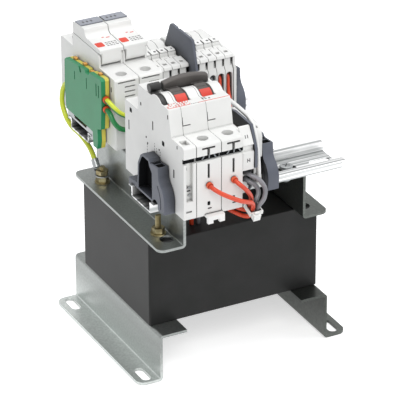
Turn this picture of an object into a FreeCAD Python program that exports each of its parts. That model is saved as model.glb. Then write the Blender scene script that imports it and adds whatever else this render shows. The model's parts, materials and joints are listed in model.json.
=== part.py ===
# Laminated control transformer on a sheet-metal chassis, with two mounting rails of
# protective devices and terminal blocks wired on top of it. Millimetres, +Z up, X along
# the rails, -Y towards the side that the wires leave. The bottom centre is the origin.
import FreeCAD, Part
import math
import os

V = FreeCAD.Vector

# Folded steel feet: a flange on the floor, a web, and a flange under the block
sheet = 2.0
bend_inside = 0.8
foot_length = 130.0
foot_height = 34.0
foot_flange = 17.5
foot_seat_flange = 20.0
foot_corner_radius = 6.0
slot_width = 6.5
slot_length = 17.0
slot_spacing = 108.0

# Potted transformer block and what is cast into it
block_width = 125.6
block_depth = 100.0
block_height = 61.0
block_corner_radius = 1.5
lamination_unit = 16.0
stack_height = 34.0
winding_build = 9.0
former_wall = 1.2
former_flange_gap = 0.4
stud_from_side = 10.8
stud_from_front = 8.0
stud_spacing_x = block_width - 2 * stud_from_side
stud_spacing_y = block_depth - 2 * stud_from_front
stud_diameter = 5.0
stud_clearance = 0.5
stud_above_flange = 11.5
nut_across_flats = 8.0
nut_height = 4.0
washer_diameter = 10.5
washer_thickness = 1.0
bolt_head_height = 3.5

# Folded steel brackets on the block, which carry the rails
bracket_height = 33.5
bracket_flange = 19.6
bracket_rail_flange = 15.0
bracket_corner_radius = 5.0
cable_hole_diameter = 9.5
cable_hole_ahead_of_stud = 9.4

# Top-hat rails, 35 mm wide and 7.5 mm high
rail_width = 35.0
rail_height = 7.5
rail_sheet = 1.0
rail_hat_width = 27.0
rail_spacing = 110.0
front_rail_left = -70.7
front_rail_right = 70.7
rear_rail_left = -62.0
rear_rail_right = 58.0
rail_slot_length = 15.0
rail_slot_width = 6.2
rail_slot_pitch = 25.0
rail_screw_diameter = 5.0
rail_screw_head_diameter = 9.0
rail_screw_head_height = 3.0

# Devices in row, from the left, with the gap that is left between neighbours
neighbour_gap = 0.1
clamp_width = 8.0
contact_width = 9.0
pole_pitch = 17.7
wide_terminal_pitch = 8.2
terminal_pitch = 6.2
plate_thickness = 2.1
front_row_left = -69.0
rear_row_left = -62.0

# Side view shared by the breaker, its contact block and the fuse bases,
# measured from the middle of the rail and from the face of its flanges
device_reach = 42.0
device_skirt = 2.4
shoulder_height = 48.5
nose_foot_front = 24.5
nose_top_front = 21.0
nose_back = 22.5
nose_height = 66.6
edge_break = 1.2
hook_gap = 0.3
hook_reach = 1.9

# Breaker mechanism
drum_height = 59.0
drum_offset = -3.5
drum_radius = 9.9
drum_width = 8.8
drum_gap = 0.3
barrel_radius = 10.5
window_offset = -2.6
bar_behind_axis = 7.5
bar_above_axis = 8.4
bar_end_height = 5.2
bar_middle_height = 7.6
bar_depth = 5.0
flag_thickness = 0.4

# Rail clips, which slide out towards the front
clip_width = 12.0
clip_thickness = 2.0
clip_gap = 0.3
clip_tab_drop = 5.4
clip_tab_out = 4.0

# Terminal screws in their wells
well_diameter = 7.4
well_depth = 3.6
screw_head_diameter = 6.6
screw_head_height = 3.0
screw_shank_diameter = 4.0
screw_shank_length = 11.0
well_from_front = 8.6

# Fuse drawers
cheek_thickness = 1.5
cheek_height = 58.0
cheek_rise = cheek_height - shoulder_height
pivot_height = shoulder_height + 0.6 * cheek_rise
fuse_nose_front = 19.8
drawer_gap = 0.35
pivot_pin_diameter = 0.8 * (cheek_height - pivot_height)
fuse_diameter = 8.5
fuse_length = 31.5
fuse_height = shoulder_height + 7.0
drawer_front_top = cheek_height + 3.4

# Wiring
wire_diameter = 3.0
earth_wire_diameter = 3.4
ferrule_diameter = 4.4
ferrule_length = 2.2

# Levels and planes that follow from the sizes above
block_bottom = foot_height
block_top = block_bottom + block_height
flange_top = block_top + sheet
rail_seat = block_top + bracket_height
rail_face = rail_seat + rail_height
front_rail_y = -rail_spacing / 2
rear_rail_y = rail_spacing / 2
web_x = block_width / 2 - bracket_flange

shapes = {}


def box(x0, x1, y0, y1, z0, z1):
    return Part.makeBox(x1 - x0, y1 - y0, z1 - z0, V(x0, y0, z0))


def rod(start, direction, radius, length):
    return Part.makeCylinder(radius, length, V(*start), V(*direction))


def joined(pieces):
    return pieces[0].fuse(pieces[1:]).removeSplitter()


def less(shape, cutters):
    return shape.cut(Part.makeCompound(cutters))


def side_slab(points, x0, x1, rail_y):
    """A side view given from the middle of a rail; four numbers are an arc by way of a point."""
    edges = []
    here = V(x0, rail_y + points[0][0], rail_face + points[0][1])
    for point in points[1:] + points[:1]:
        end = V(x0, rail_y + point[-2], rail_face + point[-1])
        if len(point) == 4:
            middle = V(x0, rail_y + point[0], rail_face + point[1])
            edges.append(Part.Arc(here, middle, end).toShape())
        else:
            edges.append(Part.LineSegment(here, end).toShape())
        here = end
    return Part.Face(Part.Wire(edges)).extrude(V(x1 - x0, 0, 0))


def plan_slab(points, z0, z1):
    corners = [V(x, y, z0) for x, y in points]
    face = Part.Face(Part.makePolygon(corners + corners[:1]))
    return face.extrude(V(0, 0, z1 - z0))


def upright_edges(shape, x, y_values):
    found = []
    for edge in shape.Edges:
        box_ = edge.BoundBox
        upright = box_.ZLength > 0.5 and box_.XLength < 0.01 and box_.YLength < 0.01
        if upright and abs(box_.XMin - x) < 0.01:
            if any(abs(box_.YMin - y) < 0.01 for y in y_values):
                found.append(edge)
    return found


def bent(shape, convex, concave):
    """Round the bends of a folded sheet, given by their places in its end view."""
    for places, radius in ((convex, bend_inside + sheet), (concave, bend_inside)):
        found = []
        for edge in shape.Edges:
            box_ = edge.BoundBox
            for x, z in places:
                near = abs(box_.Center.x - x) < 0.01 and abs(box_.Center.z - z) < 0.01
                if near and box_.YLength > foot_length / 2:
                    found.append(edge)
        shape = shape.makeFillet(radius, found)
    return shape


def hexagon(centre, across, z0, height):
    radius = across / math.sqrt(3)
    points = []
    for step in range(6):
        angle = math.radians(60 * step + 30)
        points.append((centre[0] + radius * math.cos(angle),
                       centre[1] + radius * math.sin(angle)))
    return plan_slab(points, z0, z0 + height)


def wire_tube(name, points, diameter):
    """Straight runs joined by tangent arcs, each as large as its two runs allow."""
    route = [V(*p) for p in points]
    radius = diameter / 2
    pieces = []
    radii = []
    length = 0
    here = route[0]
    for before, corner, after in zip(route, route[1:], route[2:]):
        run_in = corner.sub(before)
        run_out = after.sub(corner)
        turn = run_in.getAngle(run_out)
        reach = 0.45 * min(run_in.Length, run_out.Length)
        bend = reach / math.tan(turn / 2)
        radii.append(bend)
        unit_in = V(run_in).normalize()
        unit_out = V(run_out).normalize()
        start = corner.sub(V(unit_in).multiply(reach))
        pieces.append(Part.makeCylinder(radius, start.sub(here).Length, here, unit_in))
        inward = V(unit_out).sub(unit_in).normalize()
        centre = corner.add(V(inward).multiply(bend / math.cos(turn / 2)))
        disc = Part.Face(Part.Wire([Part.Circle(start, unit_in, radius).toShape()]))
        pieces.append(disc.revolve(centre, unit_in.cross(unit_out), math.degrees(turn)))
        length += start.sub(here).Length + bend * turn
        here = corner.add(V(unit_out).multiply(reach))
    last = route[-1].sub(here)
    pieces.append(Part.makeCylinder(radius, last.Length, here, last))
    length += last.Length
    tube = joined(pieces).Solids[0]
    wanted = math.pi * radius ** 2 * length
    print(name, "length %.1f" % length, "radii", ["%.1f" % r for r in radii],
          "volume ratio %.4f" % (tube.Volume / wanted))
    return tube


# Feet


def folded_foot(side):
    """Z-section: floor flange outwards, web flush with the block, seat flange inwards."""
    outer = block_width / 2
    profile = [(outer + foot_flange - sheet, 0), (outer + foot_flange - sheet, sheet), (outer, sheet),
               (outer, foot_height), (outer - foot_seat_flange, foot_height),
               (outer - foot_seat_flange, foot_height - sheet), (outer - sheet, foot_height - sheet),
               (outer - sheet, 0)]
    half = foot_length / 2
    corners = [V(x, -half, z) for x, z in profile]
    foot = Part.Face(Part.makePolygon(corners + corners[:1])).extrude(V(0, foot_length, 0))
    foot = foot.makeFillet(foot_corner_radius,
                           upright_edges(foot, outer + foot_flange - sheet, (-half, half)))
    foot = bent(foot, [(outer - sheet, 0), (outer, foot_height)],
                [(outer, sheet), (outer - sheet, foot_height - sheet)])
    middle = outer + (foot_flange - sheet) / 2
    cutters = []
    straight = slot_length - slot_width
    for y in (-slot_spacing / 2, slot_spacing / 2):
        cutters.append(box(middle - slot_width / 2, middle + slot_width / 2,
                           y - straight / 2, y + straight / 2, -1, sheet + 1))
        for end in (-1, 1):
            cutters.append(rod((middle, y + end * straight / 2, -1), (0, 0, 1), slot_width / 2, sheet + 2))
    for y in (-stud_spacing_y / 2, stud_spacing_y / 2):
        cutters.append(rod((stud_spacing_x / 2, y, foot_height - sheet - 1), (0, 0, 1),
                           (stud_diameter + stud_clearance) / 2, sheet + 2))
    foot = less(foot, cutters)
    return foot if side > 0 else foot.mirror(V(0, 0, 0), V(1, 0, 0))


shapes["foot_right"] = folded_foot(1)
shapes["foot_left"] = folded_foot(-1)


# Brackets


def folded_bracket(side):
    """Z-section: flange outwards on the block, web, and a flange inwards under the rails."""
    outer = block_width / 2
    profile = [(outer, block_top), (outer, flange_top), (web_x + sheet, flange_top),
               (web_x + sheet, rail_seat), (web_x - bracket_rail_flange + sheet, rail_seat),
               (web_x - bracket_rail_flange + sheet, rail_seat - sheet), (web_x, rail_seat - sheet),
               (web_x, block_top)]
    half = foot_length / 2
    corners = [V(x, -half, z) for x, z in profile]
    bracket = Part.Face(Part.makePolygon(corners + corners[:1])).extrude(V(0, foot_length, 0))
    bracket = bracket.makeFillet(bracket_corner_radius, upright_edges(bracket, outer, (-half, half)))
    bracket = bent(bracket, [(web_x, block_top), (web_x + sheet, rail_seat)],
                   [(web_x + sheet, flange_top), (web_x, rail_seat - sheet)])
    cutters = []
    for y in (-stud_spacing_y / 2, stud_spacing_y / 2):
        cutters.append(rod((stud_spacing_x / 2, y, block_top - 1), (0, 0, 1),
                           (stud_diameter + stud_clearance) / 2, sheet + 2))
    hole_y = -stud_spacing_y / 2 - cable_hole_ahead_of_stud
    cutters.append(rod((stud_spacing_x / 2 - 1.5, hole_y, block_top - 1), (0, 0, 1),
                       cable_hole_diameter / 2, sheet + 2))
    for y in (front_rail_y, rear_rail_y):
        cutters.append(rod((rail_screw_x, y, rail_seat - sheet - 1), (0, 0, 1),
                           (rail_screw_diameter + stud_clearance) / 2, sheet + 2))
    bracket = less(bracket, cutters)
    return bracket if side > 0 else bracket.mirror(V(0, 0, 0), V(1, 0, 0))


rail_screw_x = web_x - bracket_rail_flange / 2
shapes["rail_bracket_right"] = folded_bracket(1)
shapes["rail_bracket_left"] = folded_bracket(-1)

# Potted block, with the core and coil that are cast into it

unit = lamination_unit
core_middle = block_bottom + block_height / 2
core_low = core_middle - stack_height / 2
core_high = core_middle + stack_height / 2
core_front = -2.5 * unit
seam = core_front + unit
e_outline = [(-3 * unit, seam), (-3 * unit, core_front + 5 * unit), (3 * unit, core_front + 5 * unit),
             (3 * unit, seam), (2 * unit, seam), (2 * unit, core_front + 4 * unit),
             (unit, core_front + 4 * unit), (unit, seam), (-unit, seam),
             (-unit, core_front + 4 * unit), (-2 * unit, core_front + 4 * unit), (-2 * unit, seam)]
i_outline = [(-3 * unit, core_front), (-3 * unit, seam), (3 * unit, seam), (3 * unit, core_front)]
shapes["e_laminations"] = plan_slab(e_outline, core_low, core_high)
shapes["i_laminations"] = plan_slab(i_outline, core_low, core_high)


def ring_round_leg(inner_x, inner_z, wall, y0, y1):
    outside = box(-inner_x - wall, inner_x + wall, y0, y1,
                  core_middle - inner_z - wall, core_middle + inner_z + wall)
    inside = box(-inner_x, inner_x, y0 - 1, y1 + 1, core_middle - inner_z, core_middle + inner_z)
    return outside.cut(inside)


window_front = seam
window_back = core_front + 4 * unit
leg_x = unit
leg_z = stack_height / 2
flange_wall = winding_build + former_wall
coil_y0 = window_front + former_flange_gap
coil_y1 = window_back - former_flange_gap
coil_middle = (coil_y0 + coil_y1) / 2
former = [ring_round_leg(leg_x, leg_z, former_wall, coil_y0, coil_y1)]
for flange_y in (coil_y0, coil_middle - former_wall / 2, coil_y1 - former_wall):
    former.append(ring_round_leg(leg_x, leg_z, flange_wall, flange_y, flange_y + former_wall))
shapes["coil_former"] = joined(former)
wound_x = leg_x + former_wall
wound_z = leg_z + former_wall
shapes["primary_winding"] = ring_round_leg(wound_x, wound_z, winding_build,
                                           coil_y0 + former_wall, coil_middle - former_wall / 2)
shapes["secondary_winding"] = ring_round_leg(wound_x, wound_z, winding_build,
                                             coil_middle + former_wall / 2, coil_y1 - former_wall)

block = box(-block_width / 2, block_width / 2, -block_depth / 2, block_depth / 2, block_bottom, block_top)
for corner_x in (-block_width / 2, block_width / 2):
    block = block.makeFillet(block_corner_radius,
                             upright_edges(block, corner_x, (-block_depth / 2, block_depth / 2)))
core_hollow = box(-3 * unit, 3 * unit, core_front, core_front + 5 * unit, core_low, core_high)
coil_hollow = box(-leg_x - flange_wall, leg_x + flange_wall, coil_y0, coil_y1,
                  core_middle - leg_z - flange_wall, core_middle + leg_z + flange_wall)
hollows = [core_hollow.fuse(coil_hollow).removeSplitter()]
for x in (-stud_spacing_x / 2, stud_spacing_x / 2):
    for y in (-stud_spacing_y / 2, stud_spacing_y / 2):
        hollows.append(rod((x, y, block_bottom - 1), (0, 0, 1),
                           (stud_diameter + stud_clearance) / 2, block_height + 2))
for hollow in hollows:
    block = block.cut(hollow)
shapes["potted_block"] = block

# Through bolts, with their washers and nuts on the bracket flanges

bolts = []
nuts = []
washers = []
for x in (-stud_spacing_x / 2, stud_spacing_x / 2):
    for y in (-stud_spacing_y / 2, stud_spacing_y / 2):
        under = foot_height - sheet
        shank = rod((x, y, under), (0, 0, 1), stud_diameter / 2, flange_top - under + stud_above_flange)
        head = hexagon((x, y), nut_across_flats, under - bolt_head_height, bolt_head_height)
        bolts.append(joined([shank, head]))
        bore = rod((x, y, flange_top), (0, 0, 1), stud_diameter / 2, 20)
        washer = rod((x, y, flange_top), (0, 0, 1), washer_diameter / 2, washer_thickness)
        washers.append(washer.cut(bore))
        nut = hexagon((x, y), nut_across_flats, flange_top + washer_thickness, nut_height)
        nuts.append(nut.cut(bore))
        if x < 0 < y:
            lock = hexagon((x, y), nut_across_flats, flange_top + washer_thickness + nut_height + 0.8, 3.6)
            nuts.append(lock.cut(bore))
shapes["through_bolts"] = Part.makeCompound(bolts)
shapes["bolt_washers"] = Part.makeCompound(washers)
shapes["bolt_nuts"] = Part.makeCompound(nuts)

# Rails, with the screws that hold them to the brackets

hat = rail_hat_width / 2
lip = rail_width / 2
rail_outline = [(-lip, 0), (-lip, -rail_sheet), (-hat, -rail_sheet), (-hat, -rail_height), (hat, -rail_height),
                (hat, -rail_sheet), (lip, -rail_sheet), (lip, 0), (hat - rail_sheet, 0),
                (hat - rail_sheet, rail_sheet - rail_height), (rail_sheet - hat, rail_sheet - rail_height),
                (rail_sheet - hat, 0)]


def slotted_rail(x0, x1, rail_y):
    rail = side_slab(rail_outline, x0, x1, rail_y)
    cutters = []
    straight = rail_slot_length - rail_slot_width
    steps = int((x1 - x0) / rail_slot_pitch / 2) + 1
    for step in range(-steps, steps + 1):
        middle = rail_screw_x + step * rail_slot_pitch
        if middle - rail_slot_length / 2 < x0 + 2 or middle + rail_slot_length / 2 > x1 - 2:
            continue
        if abs(middle + rail_screw_x) < rail_slot_pitch:
            continue
        cutters.append(box(middle - straight / 2, middle + straight / 2, rail_y - rail_slot_width / 2,
                           rail_y + rail_slot_width / 2, rail_seat - 1, rail_seat + 2))
        for end in (-1, 1):
            cutters.append(rod((middle + end * straight / 2, rail_y, rail_seat - 1), (0, 0, 1),
                               rail_slot_width / 2, 3))
    cutters.append(rod((-rail_screw_x, rail_y, rail_seat - 1), (0, 0, 1),
                       (rail_screw_diameter + stud_clearance) / 2, 3))
    return less(rail, cutters)


shapes["front_rail"] = slotted_rail(front_rail_left, front_rail_right, front_rail_y)
shapes["rear_rail"] = slotted_rail(rear_rail_left, rear_rail_right, rear_rail_y)

rail_screws = []
rail_nuts = []
for x in (-rail_screw_x, rail_screw_x):
    for y in (front_rail_y, rear_rail_y):
        seat = rail_seat + rail_sheet
        shank_length = rail_sheet + sheet + nut_height + 1.5
        shank = rod((x, y, seat), (0, 0, -1), rail_screw_diameter / 2, shank_length)
        head = rod((x, y, seat), (0, 0, 1), rail_screw_head_diameter / 2, rail_screw_head_height)
        rail_screws.append(joined([shank, head]))
        nut = hexagon((x, y), nut_across_flats, rail_seat - sheet - nut_height, nut_height)
        rail_nuts.append(nut.cut(rod((x, y, seat), (0, 0, -1), rail_screw_diameter / 2, 20)))
shapes["rail_screws"] = Part.makeCompound(rail_screws)
shapes["rail_nuts"] = Part.makeCompound(rail_nuts)

# End clamps: a thin moulding open on its left side, gripping both flanges of the rail

clamp_outline = [(-29.6, -2.4), (-30, 6), (-28.6, 11.4, -25.4, 15.6), (-22.6, 18.6, -21.8, 22.4), (-21.2, 27.6),
                 (-10.4, 26.4), (-8.2, 28.4), (0.6, 28.6), (3.6, 26.4), (7.4, 19.5), (8.5, 4), (21, 3), (21, -2.4),
                 (17.5 - hook_reach, -2.4), (17.5 - hook_reach, -1 - hook_gap), (17.8, -1 - hook_gap), (17.8, 0),
                 (-13.5, 0), (-16.4, 3.2, -20.4, 1.6), (-21, -2.4)]
clamp_hollow = [(-12.5, 1.7), (-12.5, 20.4), (-9.4, 23.2), (-7.4, 26.6), (0, 26.8), (2.2, 25.2), (5.8, 18.8),
                (6.8, 4.4), (6.8, 1.7)]
clamp_slit = [(-19.8, 14.4), (-23.6, 8.6, -24.4, -0.4), (-25.1, -0.4), (-24.3, 8.8, -20.4, 14.9)]
clamp_wall = 1.6
clamp_screw_diameter = 4.0
clamp_screw_y = -17.5


def end_clamp(x0, rail_y):
    """Front leg with its screw, hollow back open on the left, and a ribbed grip on top."""
    body = side_slab(clamp_outline, x0, x0 + clamp_width, rail_y)
    hollow = side_slab(clamp_hollow, x0 - 1, x0 + clamp_width - clamp_wall, rail_y)
    slit = side_slab(clamp_slit, x0 - 1, x0 + 1.4, rail_y)
    middle = x0 + clamp_width / 2
    bore = rod((middle, rail_y + clamp_screw_y, rail_face - 3), (0, 0, 1), clamp_screw_diameter / 2, 23)
    mouth = box(middle - 2.6, middle + 2.6, rail_y + clamp_screw_y - 2.6, rail_y + clamp_screw_y + 2.8,
                rail_face + 19.5, rail_face + 29)
    cuts = [hollow, slit, bore, mouth]
    for y in (-13.6, -12.0):
        cuts.append(box(middle - 2.6, middle + 2.6, rail_y + y, rail_y + y + 0.9, rail_face + 25.6, rail_face + 29))
    return less(body, cuts)


def clamp_screw(x0, rail_y):
    middle = x0 + clamp_width / 2
    y = rail_y + clamp_screw_y
    shank = rod((middle, y, rail_face + 3), (0, 0, 1), clamp_screw_diameter / 2, 16.5)
    head = rod((middle, y, rail_face + 19.5), (0, 0, 1), 2.5, 4.5)
    slot = box(middle - 3, middle + 3, y - 0.4, y + 0.4, rail_face + 22.8, rail_face + 25)
    return joined([shank, head]).cut(slot)


# Places along the front rail

contact_left = front_row_left + clamp_width
breaker_left = contact_left + contact_width
front_terminals_left = breaker_left + 2 * pole_pitch
front_plate_left = front_terminals_left + wide_terminal_pitch
narrow_terminals_left = front_plate_left + plate_thickness
front_clamp_left = narrow_terminals_left + 2 * terminal_pitch

# Places along the rear rail

earth_right = rear_row_left + terminal_pitch
fuse_left = earth_right + 0.4
left_terminals = fuse_left + 2 * pole_pitch + 0.2
partition_left = left_terminals + 4 * terminal_pitch
right_terminals = partition_left + plate_thickness + neighbour_gap
rear_plate_left = right_terminals + 5 * terminal_pitch
rear_clamp_left = rear_plate_left + plate_thickness + neighbour_gap

clamp_places = {"end_clamp_front_left": (front_row_left, front_rail_y),
                "end_clamp_front_right": (front_clamp_left, front_rail_y),
                "end_clamp_rear": (rear_clamp_left, rear_rail_y)}
clamp_screws = []
for name, (x0, rail_y) in clamp_places.items():
    shapes[name] = end_clamp(x0 + neighbour_gap, rail_y)
    clamp_screws.append(clamp_screw(x0 + neighbour_gap, rail_y))
shapes["clamp_screws"] = Part.makeCompound(clamp_screws)

# Moulded modules on the rails

skirt = -device_skirt
rail_foot = [(lip - hook_reach, skirt), (lip - hook_reach, -rail_sheet - hook_gap),
             (lip + hook_gap, -rail_sheet - hook_gap), (lip + hook_gap, 0), (-lip - hook_gap, 0),
             (-lip - hook_gap, skirt)]
front_half = [(-device_reach + 0.2, skirt), (-device_reach, shoulder_height - edge_break),
              (-device_reach + edge_break, shoulder_height)]
back_half = [(device_reach - edge_break, shoulder_height), (device_reach, shoulder_height - edge_break),
             (device_reach - 0.2, skirt)]
nose = [(-nose_foot_front, shoulder_height), (-nose_top_front, nose_height - edge_break),
        (-nose_top_front + edge_break, nose_height), (nose_back - edge_break, nose_height + 0.5),
        (nose_back, nose_height - edge_break), (nose_back, shoulder_height)]
breaker_outline = front_half + nose + back_half + rail_foot
base_outline = front_half + back_half + rail_foot


def screw_wells(x, rail_y):
    cutters = []
    for end in (-1, 1):
        y = rail_y + end * (device_reach - well_from_front)
        top = rail_face + shoulder_height
        cutters.append(rod((x, y, top - well_depth), (0, 0, 1), well_diameter / 2, well_depth + 1))
        cutters.append(rod((x, y, top - well_depth - screw_head_height), (0, 0, 1),
                           screw_head_diameter / 2, screw_head_height + 1))
        cutters.append(rod((x, y, top - well_depth - screw_head_height - screw_shank_length), (0, 0, 1),
                           screw_shank_diameter / 2, screw_shank_length + 1))
    return cutters


def terminal_screws(x, rail_y):
    found = []
    for end in (-1, 1):
        y = rail_y + end * (device_reach - well_from_front)
        under_head = rail_face + shoulder_height - well_depth - screw_head_height
        head = rod((x, y, under_head), (0, 0, 1), screw_head_diameter / 2, screw_head_height)
        shank = rod((x, y, under_head), (0, 0, -1), screw_shank_diameter / 2, screw_shank_length)
        slot = box(x - 3, x + 3, y - 0.5, y + 0.5, under_head + 2, under_head + 4)
        found.append(joined([head, shank]).cut(slot))
    return found


def front_slots(x, rail_y):
    """Slots in the wire-side face of one pole: a T above the gap, a narrow slot, the wire hole."""
    face = rail_y - device_reach
    z = rail_face
    return [box(x - 4.6, x + 4.6, face - 1, face + 2, z + 44.6, z + 45.8),
            box(x - 0.9, x + 0.9, face - 1, face + 2, z + 39.0, z + 44.7),
            box(x - 0.7, x + 0.7, face - 1, face + 2.5, z + 24.0, z + 34.0),
            rod((x, face - 1, z + wire_hole_height), (0, 1, 0), wire_hole_diameter / 2, 9)]


wire_hole_height = 19.5
wire_hole_diameter = 3.6
gap_low = 36.6
gap_high = 40.2
gap_depth = 2.4


def gap_band(x0, x1, rail_y):
    face = rail_y - device_reach
    return box(x0, x1, face - 1, face + gap_depth, rail_face + gap_low, rail_face + gap_high)


clip_x = breaker_left + 0.7 * pole_pitch
fuse_clip_x = fuse_left + pole_pitch


def clip_channel(x, rail_y):
    return box(x - clip_width / 2 - clip_gap, x + clip_width / 2 + clip_gap, rail_y - device_reach - 1,
               rail_y - lip, rail_face - 5, rail_face - rail_sheet - hook_gap + clip_gap)


def rail_clip(x, rail_y):
    top = rail_face - rail_sheet - hook_gap
    half = clip_width / 2
    front = rail_y - device_reach
    bar = box(x - half, x + half, front - clip_tab_out, rail_y - lip + hook_reach, top - clip_thickness, top)
    tab = box(x - half, x + half, front - clip_tab_out, front - clip_tab_out + 2.4, top - clip_tab_drop, top)
    notch = box(x - 2.2, x + 2.2, front - clip_tab_out - 1, front - clip_tab_out + 3,
                top - clip_tab_drop - 1, top - clip_thickness - 1.2)
    window = box(x - 2.6, x + 2.6, front + 6, front + 16, top - clip_thickness - 1, top + 1)
    return less(joined([bar, tab]), [notch, window])


drum_y = front_rail_y + drum_offset
drum_z = rail_face + drum_height


def drum_pocket(x, width):
    """A slot through the barrel that lets the drum turn and its lever swing."""
    half = width / 2 + drum_gap
    reach = drum_radius + drum_gap
    round_part = rod((x - half, drum_y, drum_z), (1, 0, 0), reach, 2 * half)
    return round_part.fuse(box(x - half, x + half, drum_y - reach, drum_y + reach, drum_z, drum_z + 20))


def barrelled(outline, x0, x1):
    """The side view of a device, with the round guard that stands proud of its nose."""
    barrel = rod((x0, drum_y, drum_z), (1, 0, 0), barrel_radius, x1 - x0)
    return joined([side_slab(outline, x0, x1, front_rail_y), barrel])


def module_seams(x0):
    """The parting line along the left edge of a module, with its step on the nose."""
    face = front_rail_y - device_reach
    nose = front_rail_y - nose_foot_front
    return [box(x0 - 0.1, x0 + 0.4, face - 1, face + 0.7, rail_face - 5, rail_face + shoulder_height + 1),
            box(x0 - 0.1, x0 + 0.4, nose - 1, nose + 2.4, rail_face + 54.6, rail_face + 65.0),
            box(x0 - 0.1, x0 + 5.6, nose - 1, nose + 2.4, rail_face + 54.0, rail_face + 54.6)]


def pole_housing(x0, x1, name):
    middle = (x0 + x1) / 2
    body = barrelled(breaker_outline, x0, x1)
    cutters = screw_wells(middle, front_rail_y) + front_slots(middle, front_rail_y) + module_seams(x0)
    cutters += [gap_band(x0 - 1, x1 + 1, front_rail_y), drum_pocket(middle + window_offset, drum_width),
                clip_channel(clip_x, front_rail_y)]
    shapes[name] = less(body, cutters)
    return middle


pole_middles = []
pole_names = ("breaker_pole_left", "breaker_pole_right")
for index, name in enumerate(pole_names):
    pole_x = breaker_left + index * pole_pitch
    pole_middles.append(pole_housing(pole_x + neighbour_gap, pole_x + pole_pitch, name))
# The last pole is set back along its right front edge
set_back = box(front_terminals_left - 2.2, front_terminals_left + 1, front_rail_y - device_reach - 1,
               front_rail_y - device_reach + 9.5, rail_face - 5, rail_face + shoulder_height + 1)
shapes["breaker_pole_right"] = shapes["breaker_pole_right"].cut(set_back)
breaker_screws = []
for x in pole_middles:
    breaker_screws += terminal_screws(x, front_rail_y)
shapes["breaker_terminal_screws"] = Part.makeCompound(breaker_screws)
shapes["breaker_rail_clip"] = rail_clip(clip_x, front_rail_y)


# Breaker handle: a drum and a lever for each pole, tied by one bar


def lever(x, width):
    """A lever from its drum to the bar, as it stands when the breaker is on."""
    outline = [(1.5, 8.5), (3.4, 10.6), (7.6, 9.4), (9.5, 9.4), (9.0, 8.5), (6.5, 5.5)]
    corners = [V(x - width / 2, drum_y + y, drum_z + z) for y, z in outline]
    return Part.Face(Part.makePolygon(corners + corners[:1])).extrude(V(width, 0, 0))

def handle_bar(x0, x1):
    """The upright bar that ties the levers: flat below, arched above, thickest in the middle."""
    low = drum_z + bar_above_axis
    y = drum_y + bar_behind_axis
    middle = (x0 + x1) / 2
    start = V(x0, y, low)
    edges = [Part.LineSegment(start, V(x1, y, low)).toShape(),
             Part.LineSegment(V(x1, y, low), V(x1, y, low + bar_end_height)).toShape(),
             Part.Arc(V(x1, y, low + bar_end_height), V(middle, y, low + bar_middle_height),
                      V(x0, y, low + bar_end_height)).toShape(),
             Part.LineSegment(V(x0, y, low + bar_end_height), start).toShape()]
    bar = Part.Face(Part.Wire(edges)).extrude(V(0, bar_depth, 0))
    return bar.makeChamfer(0.9, [edge for edge in bar.Edges if edge.BoundBox.ZMin > low + 0.5
                                 and edge.BoundBox.XLength > 5])

def drum(x, width):
    return rod((x - width / 2, drum_y, drum_z), (1, 0, 0), drum_radius, width)


bar_left = breaker_left + 0.4
bar_right = breaker_left + 2 * pole_pitch - 3.0
handle_parts = [handle_bar(bar_left, bar_right)]
flags = []
for x in pole_middles:
    handle_parts.append(drum(x + window_offset, drum_width))
    handle_parts.append(lever(x + window_offset, drum_width - 0.6))
handle = joined(handle_parts)
for x in pole_middles:
    inner = drum_radius - flag_thickness
    shell = drum(x + window_offset, drum_width - 1.0).cut(rod((x - 20, drum_y, drum_z), (1, 0, 0), inner, 40))
    wedge = [(0.8, 0), (0.8, 20), (-14, 20), (-14, 10.0)]
    corners = [V(x - 20, drum_y + y, drum_z + z) for y, z in wedge]
    keep = Part.Face(Part.makePolygon(corners + corners[:1])).extrude(V(40, 0, 0))
    flags.append(shell.common(keep))
shapes["breaker_handle"] = less(handle, flags)
shapes["breaker_position_flags"] = Part.makeCompound(flags)

# Contact block beside the breaker, with its own small toggle driven by the handle

contact_middle = contact_left + contact_width / 2
toggle_x = contact_left + 2.7
toggle_width = 3.4
recess_half = 2.3
contact = barrelled(breaker_outline, contact_left + neighbour_gap, breaker_left)
face_y = front_rail_y - device_reach
contact_cuts = [box(contact_middle - recess_half, contact_middle + recess_half, face_y - 1, face_y + 3.0,
                    rail_face + 10, rail_face + 37.5),
                drum_pocket(toggle_x, toggle_width),
                gap_band(contact_left - 1, breaker_left + 1, front_rail_y),
                box(contact_middle - 2.6, contact_middle + 1.4, face_y - 1, face_y + 1.2,
                    rail_face + 2.4, rail_face + 3.6),
                box(contact_middle - 2.4, contact_middle + 2.4, front_rail_y - 38, front_rail_y - 31,
                    rail_face + shoulder_height - 2.5, rail_face + shoulder_height + 1)]
# Slots and rivet holes in the side of the contact block
for y, low, high, half in ((-20.1, 59.8, 62.6, 0.5), (1.4, 43.1, 49.2, 0.5), (18.3, 53.4, 55.6, 0.6),
                           (36.1, 28.8, 35.4, 0.5), (-32.9, 44.4, 46.6, 0.4), (-28.1, 22.1, 27.8, 0.6)):
    contact_cuts.append(box(contact_left - 1, contact_left + 1.2, front_rail_y + y - half, front_rail_y + y + half,
                            rail_face + low, rail_face + high))
for y, z, radius in ((33.1, 43.8, 1.5), (-13.4, 39.8, 1.5), (11.0, 34.0, 0.6), (8.9, 30.6, 0.6), (-7.6, 32.9, 0.6)):
    contact_cuts.append(rod((contact_left - 1, front_rail_y + y, rail_face + z), (1, 0, 0), radius, 2.4))
shapes["contact_housing"] = less(contact, contact_cuts)
knob = rod((contact_left + 0.2, drum_y + 10.2, drum_z + 11.4), (1, 0, 0), 2.9, 7.6)
toggle_parts = [drum(toggle_x, toggle_width), lever(toggle_x, toggle_width - 0.4), knob]
shapes["contact_toggle"] = joined(toggle_parts)

# Fuse bases with hinged drawers

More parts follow.
